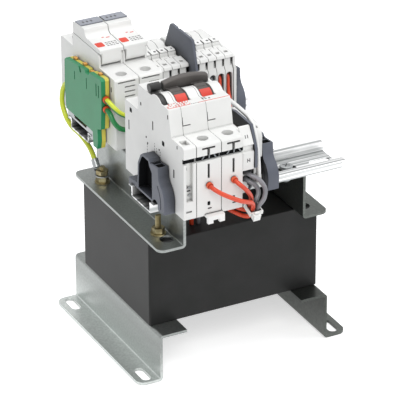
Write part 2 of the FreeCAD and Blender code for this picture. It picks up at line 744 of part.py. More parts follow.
lobe_radius = cheek_height - pivot_height
drawer_low_radius = pivot_height - shoulder_height - 0.4
pivot_y = drawer_low_radius - fuse_nose_front
drawer_front = -fuse_nose_front
ridge_top = drawer_front_top + 6.0
drawer_upper = [(drawer_front, cheek_height + drawer_gap), (drawer_front, drawer_front_top - 1.2),
                (drawer_front + 0.4, drawer_front_top - 0.3, drawer_front + 1.6, drawer_front_top),
                (-2.0, drawer_front_top + 0.8), (2.6, drawer_front_top + 1.8, 3.8, drawer_front_top + 4.6),
                (4.4, ridge_top), (20.2, ridge_top - 0.9), (21.7, ridge_top - 1.4, 22.3, ridge_top - 3.0),
                (22.3, cheek_height + drawer_gap)]
drawer_lower = [(pivot_y, shoulder_height + 0.5), (20.9, shoulder_height + 0.5),
                (20.9, cheek_height + drawer_gap + 0.1), (drawer_front, cheek_height + drawer_gap + 0.1),
                (drawer_front, pivot_height), (pivot_y, pivot_height)]


def fuse_base(x0, x1, name):
    middle = (x0 + x1) / 2
    body = side_slab(base_outline, x0, x1, rear_rail_y)
    cheek_outline = [(pivot_y, shoulder_height), (nose_back, shoulder_height), (nose_back, cheek_height),
                     (pivot_y, cheek_height)]
    parts = [body]
    pins = []
    for inner, outer in ((x0, x0 + cheek_thickness), (x1 - cheek_thickness, x1)):
        parts.append(side_slab(cheek_outline, inner, outer, rear_rail_y))
        pivot = (inner, rear_rail_y + pivot_y, rail_face + pivot_height)
        parts.append(rod(pivot, (1, 0, 0), lobe_radius, cheek_thickness))
        parts.append(box(inner, outer, rear_rail_y + pivot_y - lobe_radius, rear_rail_y + pivot_y + 1,
                         rail_face + shoulder_height - 0.5, rail_face + pivot_height))
        start = inner + (0 if inner > middle else cheek_thickness - pin_depth)
        pins.append(rod((start, pivot[1], pivot[2]), (1, 0, 0), pivot_pin_diameter / 2 + 0.2, pin_depth))
    back_stop = box(x0, x1, rear_rail_y + nose_back - 0.6, rear_rail_y + nose_back,
                    rail_face + shoulder_height - 0.5, rail_face + cheek_height)
    parts.append(back_stop)
    face = rear_rail_y - device_reach
    cuts = screw_wells(middle, rear_rail_y) + pins
    for z in (35.0, 38.5, 42.0):
        cuts.append(box(middle - 1.5, middle + 6.2, face - 1, face + 1.6, rail_face + z, rail_face + z + 0.9))
    cuts.append(box(x0 - 0.1, x0 + 0.4, face - 1, face + 0.7, rail_face - 5, rail_face + shoulder_height + 1))
    cuts.append(box(middle - 6.4, middle + 6.4, face - 1, face + 1.6, rail_face + 45.6, rail_face + 46.6))
    cuts.append(rod((middle, face - 1, rail_face + wire_hole_height), (0, 1, 0), wire_hole_diameter / 2, 9))
    cuts.append(clip_channel(fuse_clip_x, rear_rail_y))
    shapes[name] = less(joined(parts), cuts)
    return middle


pin_depth = 1.1


def fuse_drawer(x0, x1, name):
    middle = (x0 + x1) / 2
    inner0 = x0 + cheek_thickness + drawer_gap
    inner1 = x1 - cheek_thickness - drawer_gap
    upper = side_slab(drawer_upper, x0 + 0.1, x1 - 0.1, rear_rail_y)
    lower = side_slab(drawer_lower, inner0, inner1, rear_rail_y)
    pivot = (inner0, rear_rail_y + pivot_y, rail_face + pivot_height)
    lower_round = rod(pivot, (1, 0, 0), drawer_low_radius, inner1 - inner0)
    pin = rod((inner0 - drawer_gap - pin_depth + 0.3, pivot[1], pivot[2]), (1, 0, 0), pivot_pin_diameter / 2,
              inner1 - inner0 + 2 * (drawer_gap + pin_depth - 0.3))
    body = joined([upper, lower, lower_round, pin])
    cell = rod((middle, rear_rail_y + fuse_start - 0.1, rail_face + fuse_height), (0, 1, 0),
               fuse_diameter / 2 + 0.1, fuse_length + 0.2)
    way_out = box(middle - 3.4, middle + 3.4, rear_rail_y + fuse_start - 0.1,
                  rear_rail_y + fuse_start + fuse_length + 0.1, rail_face + shoulder_height,
                  rail_face + fuse_height)
    shapes[name] = less(body, [cell, way_out])
    link = rod((middle, rear_rail_y + fuse_start, rail_face + fuse_height), (0, 1, 0), fuse_diameter / 2,
               fuse_length)
    shapes[name.replace("drawer", "link")] = link


fuse_start = pivot_y + pivot_pin_diameter / 2 + 1.2
fuse_screws = []
for index, side in enumerate(("left", "right")):
    x0 = fuse_left + index * pole_pitch + neighbour_gap
    x1 = fuse_left + (index + 1) * pole_pitch - neighbour_gap
    middle = fuse_base(x0, x1, "fuse_base_" + side)
    fuse_drawer(x0, x1, "fuse_drawer_" + side)
    fuse_screws += terminal_screws(middle, rear_rail_y)
shapes["fuse_terminal_screws"] = Part.makeCompound(fuse_screws)
shapes["fuse_rail_clip"] = rail_clip(fuse_clip_x, rear_rail_y)

# Terminal blocks

terminal_outline = [(-24, skirt), (-31, 4), (-31, 33), (-29.2, 35.6), (-29, 41.6), (-31, 41.8), (-30, 44),
                    (-18.5, 44.8), (-18, 42.6), (-12, 42.8), (-11.6, 45.4), (-4.6, 45.6), (-4.2, 43), (4, 43),
                    (8, 44.6), (16, 44), (18.4, 41.6), (20.6, 36), (21, skirt)] + rail_foot
tagged_outline = [(-25, skirt), (-30.5, 4), (-30.5, 19.6), (-37.6, 20.6), (-38, 33.4), (-36.2, 34.0), (-36.2, 37.4),
                  (-37.4, 38.0), (-31.4, 48.6), (-29.6, 48.8), (-28.6, 40.6), (8, 40.4), (17, 38),
                  (20.6, 32), (21, skirt)] + rail_foot
sloped_outline = [(-20.5, skirt), (-21.5, 4), (-21.5, 30), (-19.5, 38, -15, 41), (8, 41), (17, 38), (20.6, 32),
                  (21, skirt)] + rail_foot
entry_groove = 1.1
rear_entry_height = 29.0
channel_half_width = 2.2
channel_depth = 4.6


def terminal_block(x0, pitch, rail_y, outline, groove_top, entries, test_y):
    """One block: its side view, the groove that parts it from the next, wire and test holes."""
    x1 = x0 + pitch
    middle = (x0 + x1) / 2
    body = side_slab(outline, x0 + neighbour_gap, x1, rail_y)
    reach = rail_y + outline[1][0] + 2
    cuts = [box(x1 - entry_groove, x1 + 1, reach - 3, reach + 3, rail_face + 6, rail_face + groove_top)]
    if outline is terminal_outline:
        cuts = [box(x1 - entry_groove, x1 + 1, reach - 3, reach + 4, rail_face + 35.8, rail_face + groove_top),
                box(middle - channel_half_width, middle + channel_half_width, rail_y - 32,
                    rail_y + outline[1][0] + channel_depth, rail_face - 5, rail_face + rear_entry_height),
                rod((middle, rail_y - 32, rail_face + rear_entry_height), (0, 1, 0), channel_half_width,
                    channel_depth + 1)]
    for x, z in entries:
        cuts.append(rod((middle + x, reach - 3, rail_face + z), (0, 1, 0), wire_hole_diameter / 2 + 0.3, 13))
    for y in test_y:
        cuts.append(box(middle - 1.3, middle + 1.3, rail_y + y, rail_y + y + 2.6,
                        rail_face + 38.5, rail_face + 50))
    return less(body, cuts)


rear_entries = [(0, rear_entry_height)]
left_blocks = [terminal_block(left_terminals + i * terminal_pitch, terminal_pitch, rear_rail_y,
                              terminal_outline, 41.4, rear_entries, (-26.5, -16.5)) for i in range(4)]
right_blocks = [terminal_block(right_terminals + i * terminal_pitch, terminal_pitch, rear_rail_y,
                               terminal_outline, 41.4, rear_entries, (-26.5, -16.5)) for i in range(5)]
shapes["rear_terminals_left"] = Part.makeCompound(left_blocks)
shapes["rear_terminals_right"] = Part.makeCompound(right_blocks)
shapes["front_terminal_1"] = terminal_block(front_terminals_left, wide_terminal_pitch, front_rail_y,
                                            tagged_outline, 19, [(1.2, 16.1), (1.2, 11.1)], (-20, -12))
for index in (0, 1):
    shapes["front_terminal_%d" % (index + 2)] = terminal_block(
        narrow_terminals_left + index * terminal_pitch, terminal_pitch, front_rail_y,
        sloped_outline, 19, [(0, 6.5)], (-20, -12))

partition_outline = [(-44, 10), (-44, 30), (-35, 60.5), (-33, 62.3), (-14, 62.3), (-12.5, 60.8), (-11, 62.3),
                     (-4, 62.3), (-2, 61), (12, 30), (21.5, 10), (21.5, skirt)] + rail_foot + [(-28, skirt)]
shapes["partition_plate"] = side_slab(partition_outline, partition_left + neighbour_gap,
                                      partition_left + plate_thickness, rear_rail_y)
end_plate_outline = [(-24, skirt), (-31.6, 4), (-31.6, 33.4), (-29.8, 36), (-29.6, 41.6), (-28, 43), (4, 42.6),
                     (15, 42), (18, 40), (20.8, 34), (21.6, skirt)] + rail_foot
shapes["rear_end_plate"] = side_slab(end_plate_outline, rear_plate_left + neighbour_gap,
                                     rear_plate_left + plate_thickness, rear_rail_y)
front_plate_outline = [(-25, skirt), (-31, 4), (-31, 20), (-38.6, 21.6), (-38.9, 35), (-31.8, 49.6), (-10, 49.8),
                       (12, 45), (21, 34),
                       (21.6, skirt)] + rail_foot
shapes["front_end_plate"] = side_slab(front_plate_outline, front_plate_left + neighbour_gap,
                                      front_plate_left + plate_thickness, front_rail_y)

# Earth terminal: two half shells in two colours over a metal rail foot

earth_outline = [(-33.5, 11), (-35, 30), (-35, 46.4), (-33.6, 47.7), (-17, 46), (-16, 43.6), (-11, 43.2),
                 (-10, 45.2), (8, 43.2), (20, 41.7), (22, 40), (22.4, 20), (21, 4), (-14, 4.6), (-20.4, 4),
                 (-21, -6), (-27, -6), (-28.5, 0), (-28, 9)]
earth_mid = rear_row_left + terminal_pitch / 2
earth_holes = []
for z in (33.5, 26.5):
    earth_holes.append(rod((earth_mid, rear_rail_y - 36, rail_face + z), (0, 1, 0), 2.3, 8))
earth_holes.append(rod((earth_mid, rear_rail_y + 24, rail_face + 20), (0, -1, 0), 2.3, 8))
green = side_slab(earth_outline, rear_row_left, earth_mid, rear_rail_y)
earth_slots = []
for y, low, high, half in ((6.3, 31.5, 37.2, 0.4), (-12.1, 31.9, 39.7, 0.4), (-27.0, 33.0, 41.9, 0.5),
                           (-30.6, 33.0, 41.9, 0.5)):
    earth_slots.append(box(rear_row_left - 1, rear_row_left + 0.9, rear_rail_y + y - half, rear_rail_y + y + half,
                           rail_face + low, rail_face + high))
earth_slots.append(side_slab([(-0.6, 50), (-4.2, 40.6), (-2.0, 40.2), (1.4, 50)], rear_row_left - 1,
                             rear_row_left + 0.9, rear_rail_y))
yellow = side_slab(earth_outline, earth_mid, earth_right - neighbour_gap, rear_rail_y)
shapes["earth_terminal_green"] = less(green, earth_holes + earth_slots)
shapes["earth_terminal_yellow"] = less(yellow, earth_holes)
foot_outline = [(-19.6, 3.9), (-19.6, -2.8), (-lip + hook_reach, -2.8), (-lip + hook_reach, -rail_sheet),
                (-lip, -rail_sheet), (-lip, 0), (lip, 0), (lip, -rail_sheet), (lip - hook_reach, -rail_sheet),
                (lip - hook_reach, -2.8), (19.6, -2.8), (19.6, 3.9), (10, 3.9), (9, 1.6), (-9, 1.6),
                (-10, 3.9)]
shapes["earth_terminal_foot"] = side_slab(foot_outline, rear_row_left + 0.6, earth_right - 0.7, rear_rail_y)

# Wires, which the terminals and the potted block hold at both ends

entry_z = rail_face + wire_hole_height
front_face = front_rail_y - device_reach
left_pole, right_pole = pole_middles
tie_centre = (-10.6, front_face + 1.0, 130.0)
bundle_lean = 20.4
bundle_spacing = 1.7
lean_cos = math.cos(math.radians(bundle_lean))
lean_sin = math.sin(math.radians(bundle_lean))


def by_front(x, y, z):
    """A point of a wire, with its depth measured from the middle of the front rail."""
    return (x, front_rail_y + y, z)


def by_rear(x, y, z):
    return (x, rear_rail_y + y, z)


def in_bundle(across, behind, below):
    """A point beside the middle of the cable tie, in the leaning frame of the bundle."""
    return (tie_centre[0] + across * bundle_spacing,
            tie_centre[1] + behind * bundle_spacing * lean_cos + below * lean_sin,
            tie_centre[2] + behind * bundle_spacing * lean_sin - below * lean_cos)


breaker_left_route = [(left_pole, front_face + 3, entry_z), (left_pole, front_face - 6, entry_z - 0.6),
                      by_front(-37.0, -50.5, 150.5), by_front(-25.0, -51.8, 143.5), in_bundle(-1, -1, -8),
                      in_bundle(-1, -1, 4), by_front(-13.4, -34.5, 122.2), by_front(-17.0, -25, 122.4),
                      by_front(-20.0, -11, 122.7), by_front(-23.0, 5, 120.6), (-24.6, -39.6, 112.0),
                      (-25.0, -37.0, 103.0), (-25.0, -37.0, block_top)]
breaker_right_route = [(right_pole, front_face + 3, entry_z), (right_pole, front_face - 6, entry_z - 0.6),
                       by_front(-20.0, -48.8, 149.5), by_front(-14.4, -44.8, 142.0), in_bundle(-1, 1, -6),
                       in_bundle(-1, 1, 2.4), by_front(-13.6, -31.8, 126.1), by_front(-17.2, -23, 126.2),
                       by_front(-20.2, -9, 126.4), by_front(-22.4, 7, 124.0), (-23.0, -36.0, 113.0),
                       (-22.4, -32.0, 104.0), (-22.4, -32.0, block_top)]
front_entry_x = front_terminals_left + wide_terminal_pitch / 2 + 1.2
grey_outer_route = [by_front(front_entry_x, -27, 152.4), by_front(front_entry_x, -35, 152.2),
                    by_front(-5.4, -39.4, 149.5), by_front(-2.2, -42.4, 143.0), by_front(-4.4, -44, 136.6),
                    in_bundle(1, -1, -3.4), in_bundle(1, -1, 4), by_front(-9.9, -34.5, 122.2),
                    by_front(-13.4, -24, 122.3), by_front(-16.4, -10, 122.5), by_front(-19.2, 6, 120.6),
                    (-20.4, -40.6, 112.0), (-20.6, -38.0, 103.0), (-20.6, -38.0, block_top)]
grey_inner_route = [by_front(front_entry_x, -27, 147.4), by_front(front_entry_x, -33.6, 147.2),
                    by_front(-6.6, -36.8, 144.4), by_front(-5.4, -39, 140.0), in_bundle(1, 1, -4.4),
                    in_bundle(1, 1, 2.4), by_front(-10.2, -31.8, 126.1), by_front(-13.7, -22, 126.1),
                    by_front(-16.7, -8, 126.3), by_front(-18.8, 8, 124.0), (-18.6, -35.0, 112.5),
                    (-18.0, -31.6, 103.6), (-18.0, -31.6, block_top)]
shapes["breaker_wires"] = Part.makeCompound([
    wire_tube("breaker wire left", breaker_left_route, wire_diameter),
    wire_tube("breaker wire right", breaker_right_route, wire_diameter)])
shapes["grey_wires"] = Part.makeCompound([
    wire_tube("grey wire outer", grey_outer_route, wire_diameter),
    wire_tube("grey wire inner", grey_inner_route, wire_diameter)])

first_rear = right_terminals + terminal_pitch / 2
rear_entry_z = rail_face + rear_entry_height
second_front = narrow_terminals_left + terminal_pitch / 2
white_route = [by_rear(first_rear, -21, rear_entry_z), by_rear(first_rear, -36, rear_entry_z),
               by_rear(8.0, -51, 170.5), (2.6, -20.0, 178.5), by_front(-1.4, 9, 183.6), by_front(-2.4, -5, 184.9),
               by_front(-2.7, -22.5, 184.2), by_front(-2.8, -29.2, 174.6), by_front(-2.9, -32, 164.0),
               by_front(-3.0, -34, 153.0), by_front(second_front, -33.4, 142.8),
               by_front(second_front, -18.5, 142.8)]
shapes["white_wire"] = wire_tube("white wire", white_route, wire_diameter)


def rear_route(place, foot_x):
    x = first_rear + place * terminal_pitch
    return [by_rear(x, -21, rear_entry_z), by_rear(x, -28.7, rear_entry_z - 0.1), by_rear(x, -28.7, 153.0),
            by_rear(x - 0.2, -33.6, 144.0), by_rear(foot_x + 1.3, -34.4, 131.5),
            by_rear(foot_x - 0.2, -34.8, 120.0), by_rear(foot_x - 0.2, -34.8, block_top)]


shapes["rear_wire_grey"] = wire_tube("rear wire grey", rear_route(2, 18.5), wire_diameter)
shapes["rear_wires_red"] = Part.makeCompound([
    wire_tube("rear wire red first", rear_route(3, 22.6), wire_diameter),
    wire_tube("rear wire red second", rear_route(4, 26.7), wire_diameter)])

earth_upper_route = [by_rear(earth_mid, -31, rail_face + 33.5), by_rear(earth_mid, -40.2, rail_face + 33.2),
                     by_rear(-57.4, -45, 166.6), by_rear(-54.0, -46.4, 162.6), by_rear(-47.0, -46.6, 158.6),
                     by_rear(-35.0, -48, 151.0), by_rear(-25.4, -50, 139.0), (-23.0, 4.0, 114.0),
                     (-23.0, 4.0, block_top)]
earth_lower_route = [by_rear(earth_mid, -31, rail_face + 26.5), by_rear(earth_mid, -40.9, rail_face + 26.1),
                     by_rear(-58.0, -44.6, 156.4), by_rear(-54.6, -46.2, 151.6),
                     by_rear(-46.0, -46.4, 148.4), by_rear(-34.0, -45.5, 144.0), by_rear(-26.4, -44, 135.0),
                     (-24.6, 11.6, 114.0), (-24.6, 11.6, block_top)]
shapes["earth_wires"] = Part.makeCompound([
    wire_tube("earth wire upper", earth_upper_route, earth_wire_diameter),
    wire_tube("earth wire lower", earth_lower_route, earth_wire_diameter)])

# Bond from the back of the earth terminal to a ring terminal on the rear left bolt

ring_z = flange_top + washer_thickness + nut_height
ring_thickness = 0.8
bond_lean = V(0, 0.6, 0.8)
stud_x = -stud_spacing_x / 2
stud_y = stud_spacing_y / 2
barrel_start = V(stud_x, stud_y + 8.4, ring_z + 2.2)
barrel_length = 6.0
barrel_diameter = 5.0
bond_start = barrel_start.add(V(bond_lean).multiply(0.6))
bond_turn = barrel_start.add(V(bond_lean).multiply(8.5))
bond_route = [tuple(bond_start), tuple(bond_turn), by_rear(-53.8, 1.6, 116.5), by_rear(-57.8, 1, 123.6),
              by_rear(-59.0, 7, 126.2), by_rear(-59.6, 17, 126.6), by_rear(-60.4, 25, 131.0),
              by_rear(-60.8, 30.8, 140.0), by_rear(-59.8, 30.8, 149.5), by_rear(earth_mid, 27, 155.9),
              by_rear(earth_mid, 17.4, 156.3)]
shapes["bond_wire"] = wire_tube("bond wire", bond_route, earth_wire_diameter)
ring = rod((stud_x, stud_y, ring_z), (0, 0, 1), 5.0, ring_thickness)
tongue = box(stud_x - 2.2, stud_x + 2.2, stud_y, stud_y + 9.0, ring_z, ring_z + ring_thickness)
barrel = Part.makeCylinder(barrel_diameter / 2, barrel_length, barrel_start, bond_lean)
barrel_bore = Part.makeCylinder(earth_wire_diameter / 2 + 0.05, barrel_length + 4, bond_start, bond_lean)
ring_piece = joined([ring, tongue, barrel])
stud_bore = rod((stud_x, stud_y, ring_z - 1), (0, 0, 1), stud_diameter / 2, 4)
below_ring = box(stud_x - 8, stud_x + 8, stud_y - 8, stud_y + 14, ring_z - 4, ring_z)
shapes["ring_terminal"] = less(ring_piece, [barrel_bore, stud_bore, below_ring])

# Insulated sleeves on the wire ends


def sleeve(route, face, diameter):
    """A collar on the first run of a wire, from the face that it leaves."""
    start = V(*route[0])
    direction = V(*route[1]).sub(start)
    to_face = (face - start.y) / direction.y
    seat = start.add(V(direction).multiply(to_face + 0.02))
    outer_radius = (ferrule_diameter - wire_diameter + diameter) / 2
    outer = Part.makeCylinder(outer_radius, ferrule_length, seat, direction)
    return outer.cut(Part.makeCylinder(diameter / 2 + 0.02, 20, start, direction))


shapes["wire_sleeves"] = Part.makeCompound([
    sleeve(breaker_left_route, front_face, wire_diameter),
    sleeve(breaker_right_route, front_face, wire_diameter),
    sleeve(earth_upper_route, rear_rail_y - 35.0, earth_wire_diameter),
    sleeve(earth_lower_route, rear_rail_y - 35.0, earth_wire_diameter)])

# Cable tie: a band, its head at the front and the cut tail below it

inner_half = 2 * bundle_spacing + 0.35
band = box(-inner_half - 1, inner_half + 1, -inner_half - 1, inner_half + 1, -1.4, 1.4)
band = band.cut(box(-inner_half, inner_half, -inner_half, inner_half, -3, 3))
head = box(-3.4, 1.6, -inner_half - 4.2, -inner_half - 0.5, -2.9, 1.7)
tail = box(-2.4, 0.6, -inner_half - 3.0, -inner_half - 1.8, -4.6, 3.2)
tie = joined([band, head, tail])
tie.rotate(V(0, 0, 0), V(1, 0, 0), bundle_lean)
tie.translate(V(*tie_centre))
shapes["cable_tie"] = tie

# Move the whole object so that the middle of its bottom is the origin

overall = FreeCAD.BoundBox()
for shape in shapes.values():
    overall.add(shape.optimalBoundingBox(False, False))
shift = V(-overall.Center.x, -overall.Center.y, -overall.ZMin)
print("shift", shift, "size", overall.XLength, overall.YLength, overall.ZLength)
os.makedirs("parts", exist_ok=True)
for name, shape in shapes.items():
    if not shape.isValid() or any(solid.Volume <= 0 for solid in shape.Solids):
        print("check this shape:", name)
    shape.translate(shift)
    shape.exportStep("parts/" + name + ".step")
print(len(shapes), "nodes")
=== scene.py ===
import json
import math

import bpy
from mathutils import Matrix, Vector


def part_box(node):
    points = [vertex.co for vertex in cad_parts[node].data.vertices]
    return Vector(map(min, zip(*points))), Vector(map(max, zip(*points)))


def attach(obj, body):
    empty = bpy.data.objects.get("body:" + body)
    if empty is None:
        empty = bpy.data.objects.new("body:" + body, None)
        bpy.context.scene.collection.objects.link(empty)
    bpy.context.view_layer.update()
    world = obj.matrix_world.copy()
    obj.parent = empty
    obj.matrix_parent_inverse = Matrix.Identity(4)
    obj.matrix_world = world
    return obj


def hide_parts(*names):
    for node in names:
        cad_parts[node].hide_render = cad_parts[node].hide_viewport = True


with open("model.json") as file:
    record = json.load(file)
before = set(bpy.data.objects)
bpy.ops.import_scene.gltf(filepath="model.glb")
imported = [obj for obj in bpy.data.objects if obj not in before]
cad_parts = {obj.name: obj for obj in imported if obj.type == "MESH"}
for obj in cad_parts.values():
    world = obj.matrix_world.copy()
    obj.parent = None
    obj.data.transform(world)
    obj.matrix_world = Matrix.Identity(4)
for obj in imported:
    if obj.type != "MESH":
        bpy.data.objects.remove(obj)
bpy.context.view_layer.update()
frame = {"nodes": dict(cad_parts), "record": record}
node = frame["nodes"]

# The view of the photograph: a long lens from the front left, looking down on the block.
# Its place, turn and lens were fitted to edges of the rails, the modules and the feet.
camera_place = Vector((-0.864931, -1.679542, 1.064402))
camera_turn = math.radians(27.182)
camera_drop = math.radians(27.225)
camera_roll = math.radians(-0.183)

view_camera = bpy.data.objects.new("view_camera", bpy.data.cameras.new("view_camera"))
bpy.context.collection.objects.link(view_camera)
view_camera.data.sensor_width = 36.0
view_camera.data.lens = 285.6
view_camera.data.clip_end = 20.0
looking = Vector((math.sin(camera_turn) * math.cos(camera_drop),
                  math.cos(camera_turn) * math.cos(camera_drop), -math.sin(camera_drop)))
view_camera.matrix_world = (Matrix.Translation(camera_place)
                            @ looking.to_track_quat("-Z", "Y").to_matrix().to_4x4()
                            @ Matrix.Rotation(camera_roll, 4, "Z"))
bpy.context.scene.camera = view_camera
bpy.context.scene.view_settings.view_transform = "Standard"

# The studio: a pale floor, three large soft lamps and a pale surround that metal can mirror.
# The camera and mirrored rays see white, and what lights the object is dimmer.
sky_strength = 0.46
floor_glow = 0.56
lamps_aim = Vector((0, 0, 0.1))


def seen_white(nodes, links, lit, shown, target):
    """Mixes what lights the object with the plain white that is seen behind it."""
    path = nodes.new("ShaderNodeLightPath")
    either = nodes.new("ShaderNodeMath")
    either.operation = "MAXIMUM"
    links.new(path.outputs["Is Camera Ray"], either.inputs[0])
    links.new(path.outputs["Is Glossy Ray"], either.inputs[1])
    mix = nodes.new("ShaderNodeMixShader")
    links.new(either.outputs[0], mix.inputs[0])
    links.new(lit.outputs[0], mix.inputs[1])
    links.new(shown.outputs[0], mix.inputs[2])
    links.new(mix.outputs[0], target)


surround = bpy.data.worlds.new("surround")
bpy.context.scene.world = surround
surround.use_nodes = True
sky = surround.node_tree.nodes
sky.clear()
dim_sky = sky.new("ShaderNodeBackground")
dim_sky.inputs["Color"].default_value = (0.95, 0.97, 1.0, 1)
dim_sky.inputs["Strength"].default_value = sky_strength
white_sky = sky.new("ShaderNodeBackground")
white_sky.inputs["Color"].default_value = (1, 1, 1, 1)
white_sky.inputs["Strength"].default_value = 1.0
sky_out = sky.new("ShaderNodeOutputWorld")
seen_white(sky, surround.node_tree.links, dim_sky, white_sky, sky_out.inputs["Surface"])

for lamp_name, place, side, power, warmth in (
        ("front_softbox", (-0.6, -1.5, 1.5), 1.1, 19.0, (1.0, 0.99, 0.97)),
        ("side_softbox", (1.3, -0.6, 0.9), 1.0, 5.0, (0.96, 0.98, 1.0)),
        ("top_softbox", (0.1, 0.2, 1.7), 1.2, 12.0, (1.0, 1.0, 1.0))):
    lamp_data = bpy.data.lights.new(lamp_name, "AREA")
    lamp_data.size = side
    lamp_data.energy = power
    lamp_data.color = warmth
    lamp = bpy.data.objects.new(lamp_name, lamp_data)
    bpy.context.collection.objects.link(lamp)
    lamp.location = place
    lamp.rotation_euler = (lamps_aim - Vector(place)).to_track_quat("-Z", "Y").to_euler()

bpy.ops.mesh.primitive_plane_add(size=14, location=(0, 3, -0.0004))
floor = bpy.context.object
floor.name = "studio_floor"
floor_paper = bpy.data.materials.new("floor_paper")
floor_paper.use_nodes = True
paper = floor_paper.node_tree.nodes
paper.clear()
paper_matt = paper.new("ShaderNodeBsdfDiffuse")
paper_matt.inputs["Color"].default_value = (0.86, 0.86, 0.86, 1)
paper_glow = paper.new("ShaderNodeEmission")
paper_glow.inputs["Color"].default_value = (1, 1, 1, 1)
paper_glow.inputs["Strength"].default_value = floor_glow
paper_sum = paper.new("ShaderNodeAddShader")
paper_out = paper.new("ShaderNodeOutputMaterial")
paper_links = floor_paper.node_tree.links
paper_links.new(paper_matt.outputs[0], paper_sum.inputs[0])
paper_links.new(paper_glow.outputs[0], paper_sum.inputs[1])
seen_white(paper, paper_links, paper_matt, paper_sum, paper_out.inputs["Surface"])
floor.data.materials.append(floor_paper)

# Folded feet and rail brackets: galvanised sheet, 2 mm thick, dull grey with a fine grain
# and a slight waviness. Punched and folded, with the burrs taken off the edges.
body_of = {name: body for body, names in frame["record"]["behaviour"]["bodies"].items()
           for name in names}


def shade(text):
    """The linear colour of a colour that is written as it looks on a screen."""
    parts = [int(text[i:i + 2], 16) / 255 for i in (0, 2, 4)]
    return tuple(p / 12.92 if p <= 0.04045 else ((p + 0.055) / 1.055) ** 2.4 for p in parts) + (1,)


def new_finish(name, colour, roughness, metallic=0.0, coat=0.0):
    """A plain surface of one colour and one gloss, to build a finish on."""
    finish = bpy.data.materials.new(name)
    finish.use_nodes = True
    surface = finish.node_tree.nodes["Principled BSDF"]
    surface.inputs["Base Color"].default_value = shade(colour)
    surface.inputs["Roughness"].default_value = roughness
    surface.inputs["Metallic"].default_value = metallic
    surface.inputs["Coat Weight"].default_value = coat
    return finish


def texture(finish, kind, scale, stretch=(1, 1, 1), **settings):
    """A pattern in the part's own coordinates, in cells of 1/scale metre, stretched if need be."""
    nodes = finish.node_tree.nodes
    links = finish.node_tree.links
    place = nodes.new("ShaderNodeTexCoord")
    pattern = nodes.new(kind)
    pattern.inputs["Scale"].default_value = scale
    for name, value in settings.items():
        pattern.inputs[name.replace("_", " ")].default_value = value
    stretched = nodes.new("ShaderNodeMapping")
    stretched.inputs["Scale"].default_value = stretch
    links.new(place.outputs["Object"], stretched.inputs["Vector"])
    links.new(stretched.outputs["Vector"], pattern.inputs["Vector"])
    return pattern


def colours_from(finish, source, dark, light, low=0.0, high=1.0):
    """Drives the base colour from a pattern, between two shades."""
    ramp = finish.node_tree.nodes.new("ShaderNodeValToRGB")
    ramp.color_ramp.elements[0].position = low
    ramp.color_ramp.elements[1].position = high
    ramp.color_ramp.elements[0].color = shade(dark)
    ramp.color_ramp.elements[1].color = shade(light)
    links = finish.node_tree.links
    links.new(source, ramp.inputs["Fac"])
    links.new(ramp.outputs["Color"], finish.node_tree.nodes["Principled BSDF"].inputs["Base Color"])


def ranged(finish, source, low, high, start=0.0, end=1.0):
    """Spreads a value that runs from start to end over low to high."""
    spread = finish.node_tree.nodes.new("ShaderNodeMapRange")
    spread.inputs["From Min"].default_value = start
    spread.inputs["From Max"].default_value = end
    spread.inputs["To Min"].default_value = low
    spread.inputs["To Max"].default_value = high
    finish.node_tree.links.new(source, spread.inputs["Value"])
    return spread.outputs["Result"]


def scaled(finish, amount):
    """Multiplies the colour that a finish has so far by an amount."""
    links = finish.node_tree.links
    surface = finish.node_tree.nodes["Principled BSDF"].inputs["Base Color"]
    product = finish.node_tree.nodes.new("ShaderNodeVectorMath")
    product.operation = "SCALE"
    links.new(surface.links[0].from_socket, product.inputs[0])
    links.new(amount, product.inputs["Scale"])
    links.new(product.outputs["Vector"], surface)


def roughness_from(finish, source, low, high):
    """Drives the gloss from a pattern, between two roughnesses."""
    gloss = ranged(finish, source, low, high)
    surface = finish.node_tree.nodes["Principled BSDF"]
    finish.node_tree.links.new(gloss, surface.inputs["Roughness"])


def bump_from(finish, source, strength, height):
    """Lets a pattern stand out of the surface by a height in metres."""
    bump = finish.node_tree.nodes.new("ShaderNodeBump")
    bump.inputs["Strength"].default_value = strength
    bump.inputs["Distance"].default_value = height
    links = finish.node_tree.links
    links.new(source, bump.inputs["Height"])
    links.new(bump.outputs["Normal"], finish.node_tree.nodes["Principled BSDF"].inputs["Normal"])


def alone(piece):
    """Only this piece is selected and active, so that an operator acts on nothing else."""
    bpy.ops.object.select_all(action="DESELECT")
    piece.select_set(True)
    bpy.context.view_layer.objects.active = piece


def edit_all(piece):
    """Opens a piece for edit operators, with all of it selected."""
    alone(piece)
    bpy.ops.object.mode_set(mode="EDIT")
    bpy.ops.mesh.select_all(action="SELECT")


def round_edges(piece, width, steps=2, sharp=35.0):
    """Breaks the edges of a piece by a width in millimetres."""
    alone(piece)
    edge = piece.modifiers.new("edge", "BEVEL")
    edge.width = width * 0.001
    edge.segments = steps
    edge.limit_method = "ANGLE"
    edge.angle_limit = math.radians(sharp)
    edge.use_clamp_overlap = False
    bpy.ops.object.modifier_apply(modifier="edge")


def settle(piece, name, finish, body, smooth=40.0):
    """Puts a piece's place into its mesh, shades and paints it, and lets it ride on its body."""
    alone(piece)
    bpy.ops.object.transform_apply(location=True, rotation=True, scale=True)
    bpy.ops.object.shade_smooth_by_angle(angle=math.radians(smooth))
    flatten = piece.modifiers.new("flatten", "WEIGHTED_NORMAL")
    flatten.keep_sharp = True
    bpy.ops.object.modifier_apply(modifier="flatten")
    piece.name = name
    piece.data.name = name
    piece.data.materials.clear()
    piece.data.materials.append(finish)
    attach(piece, body)
    return piece


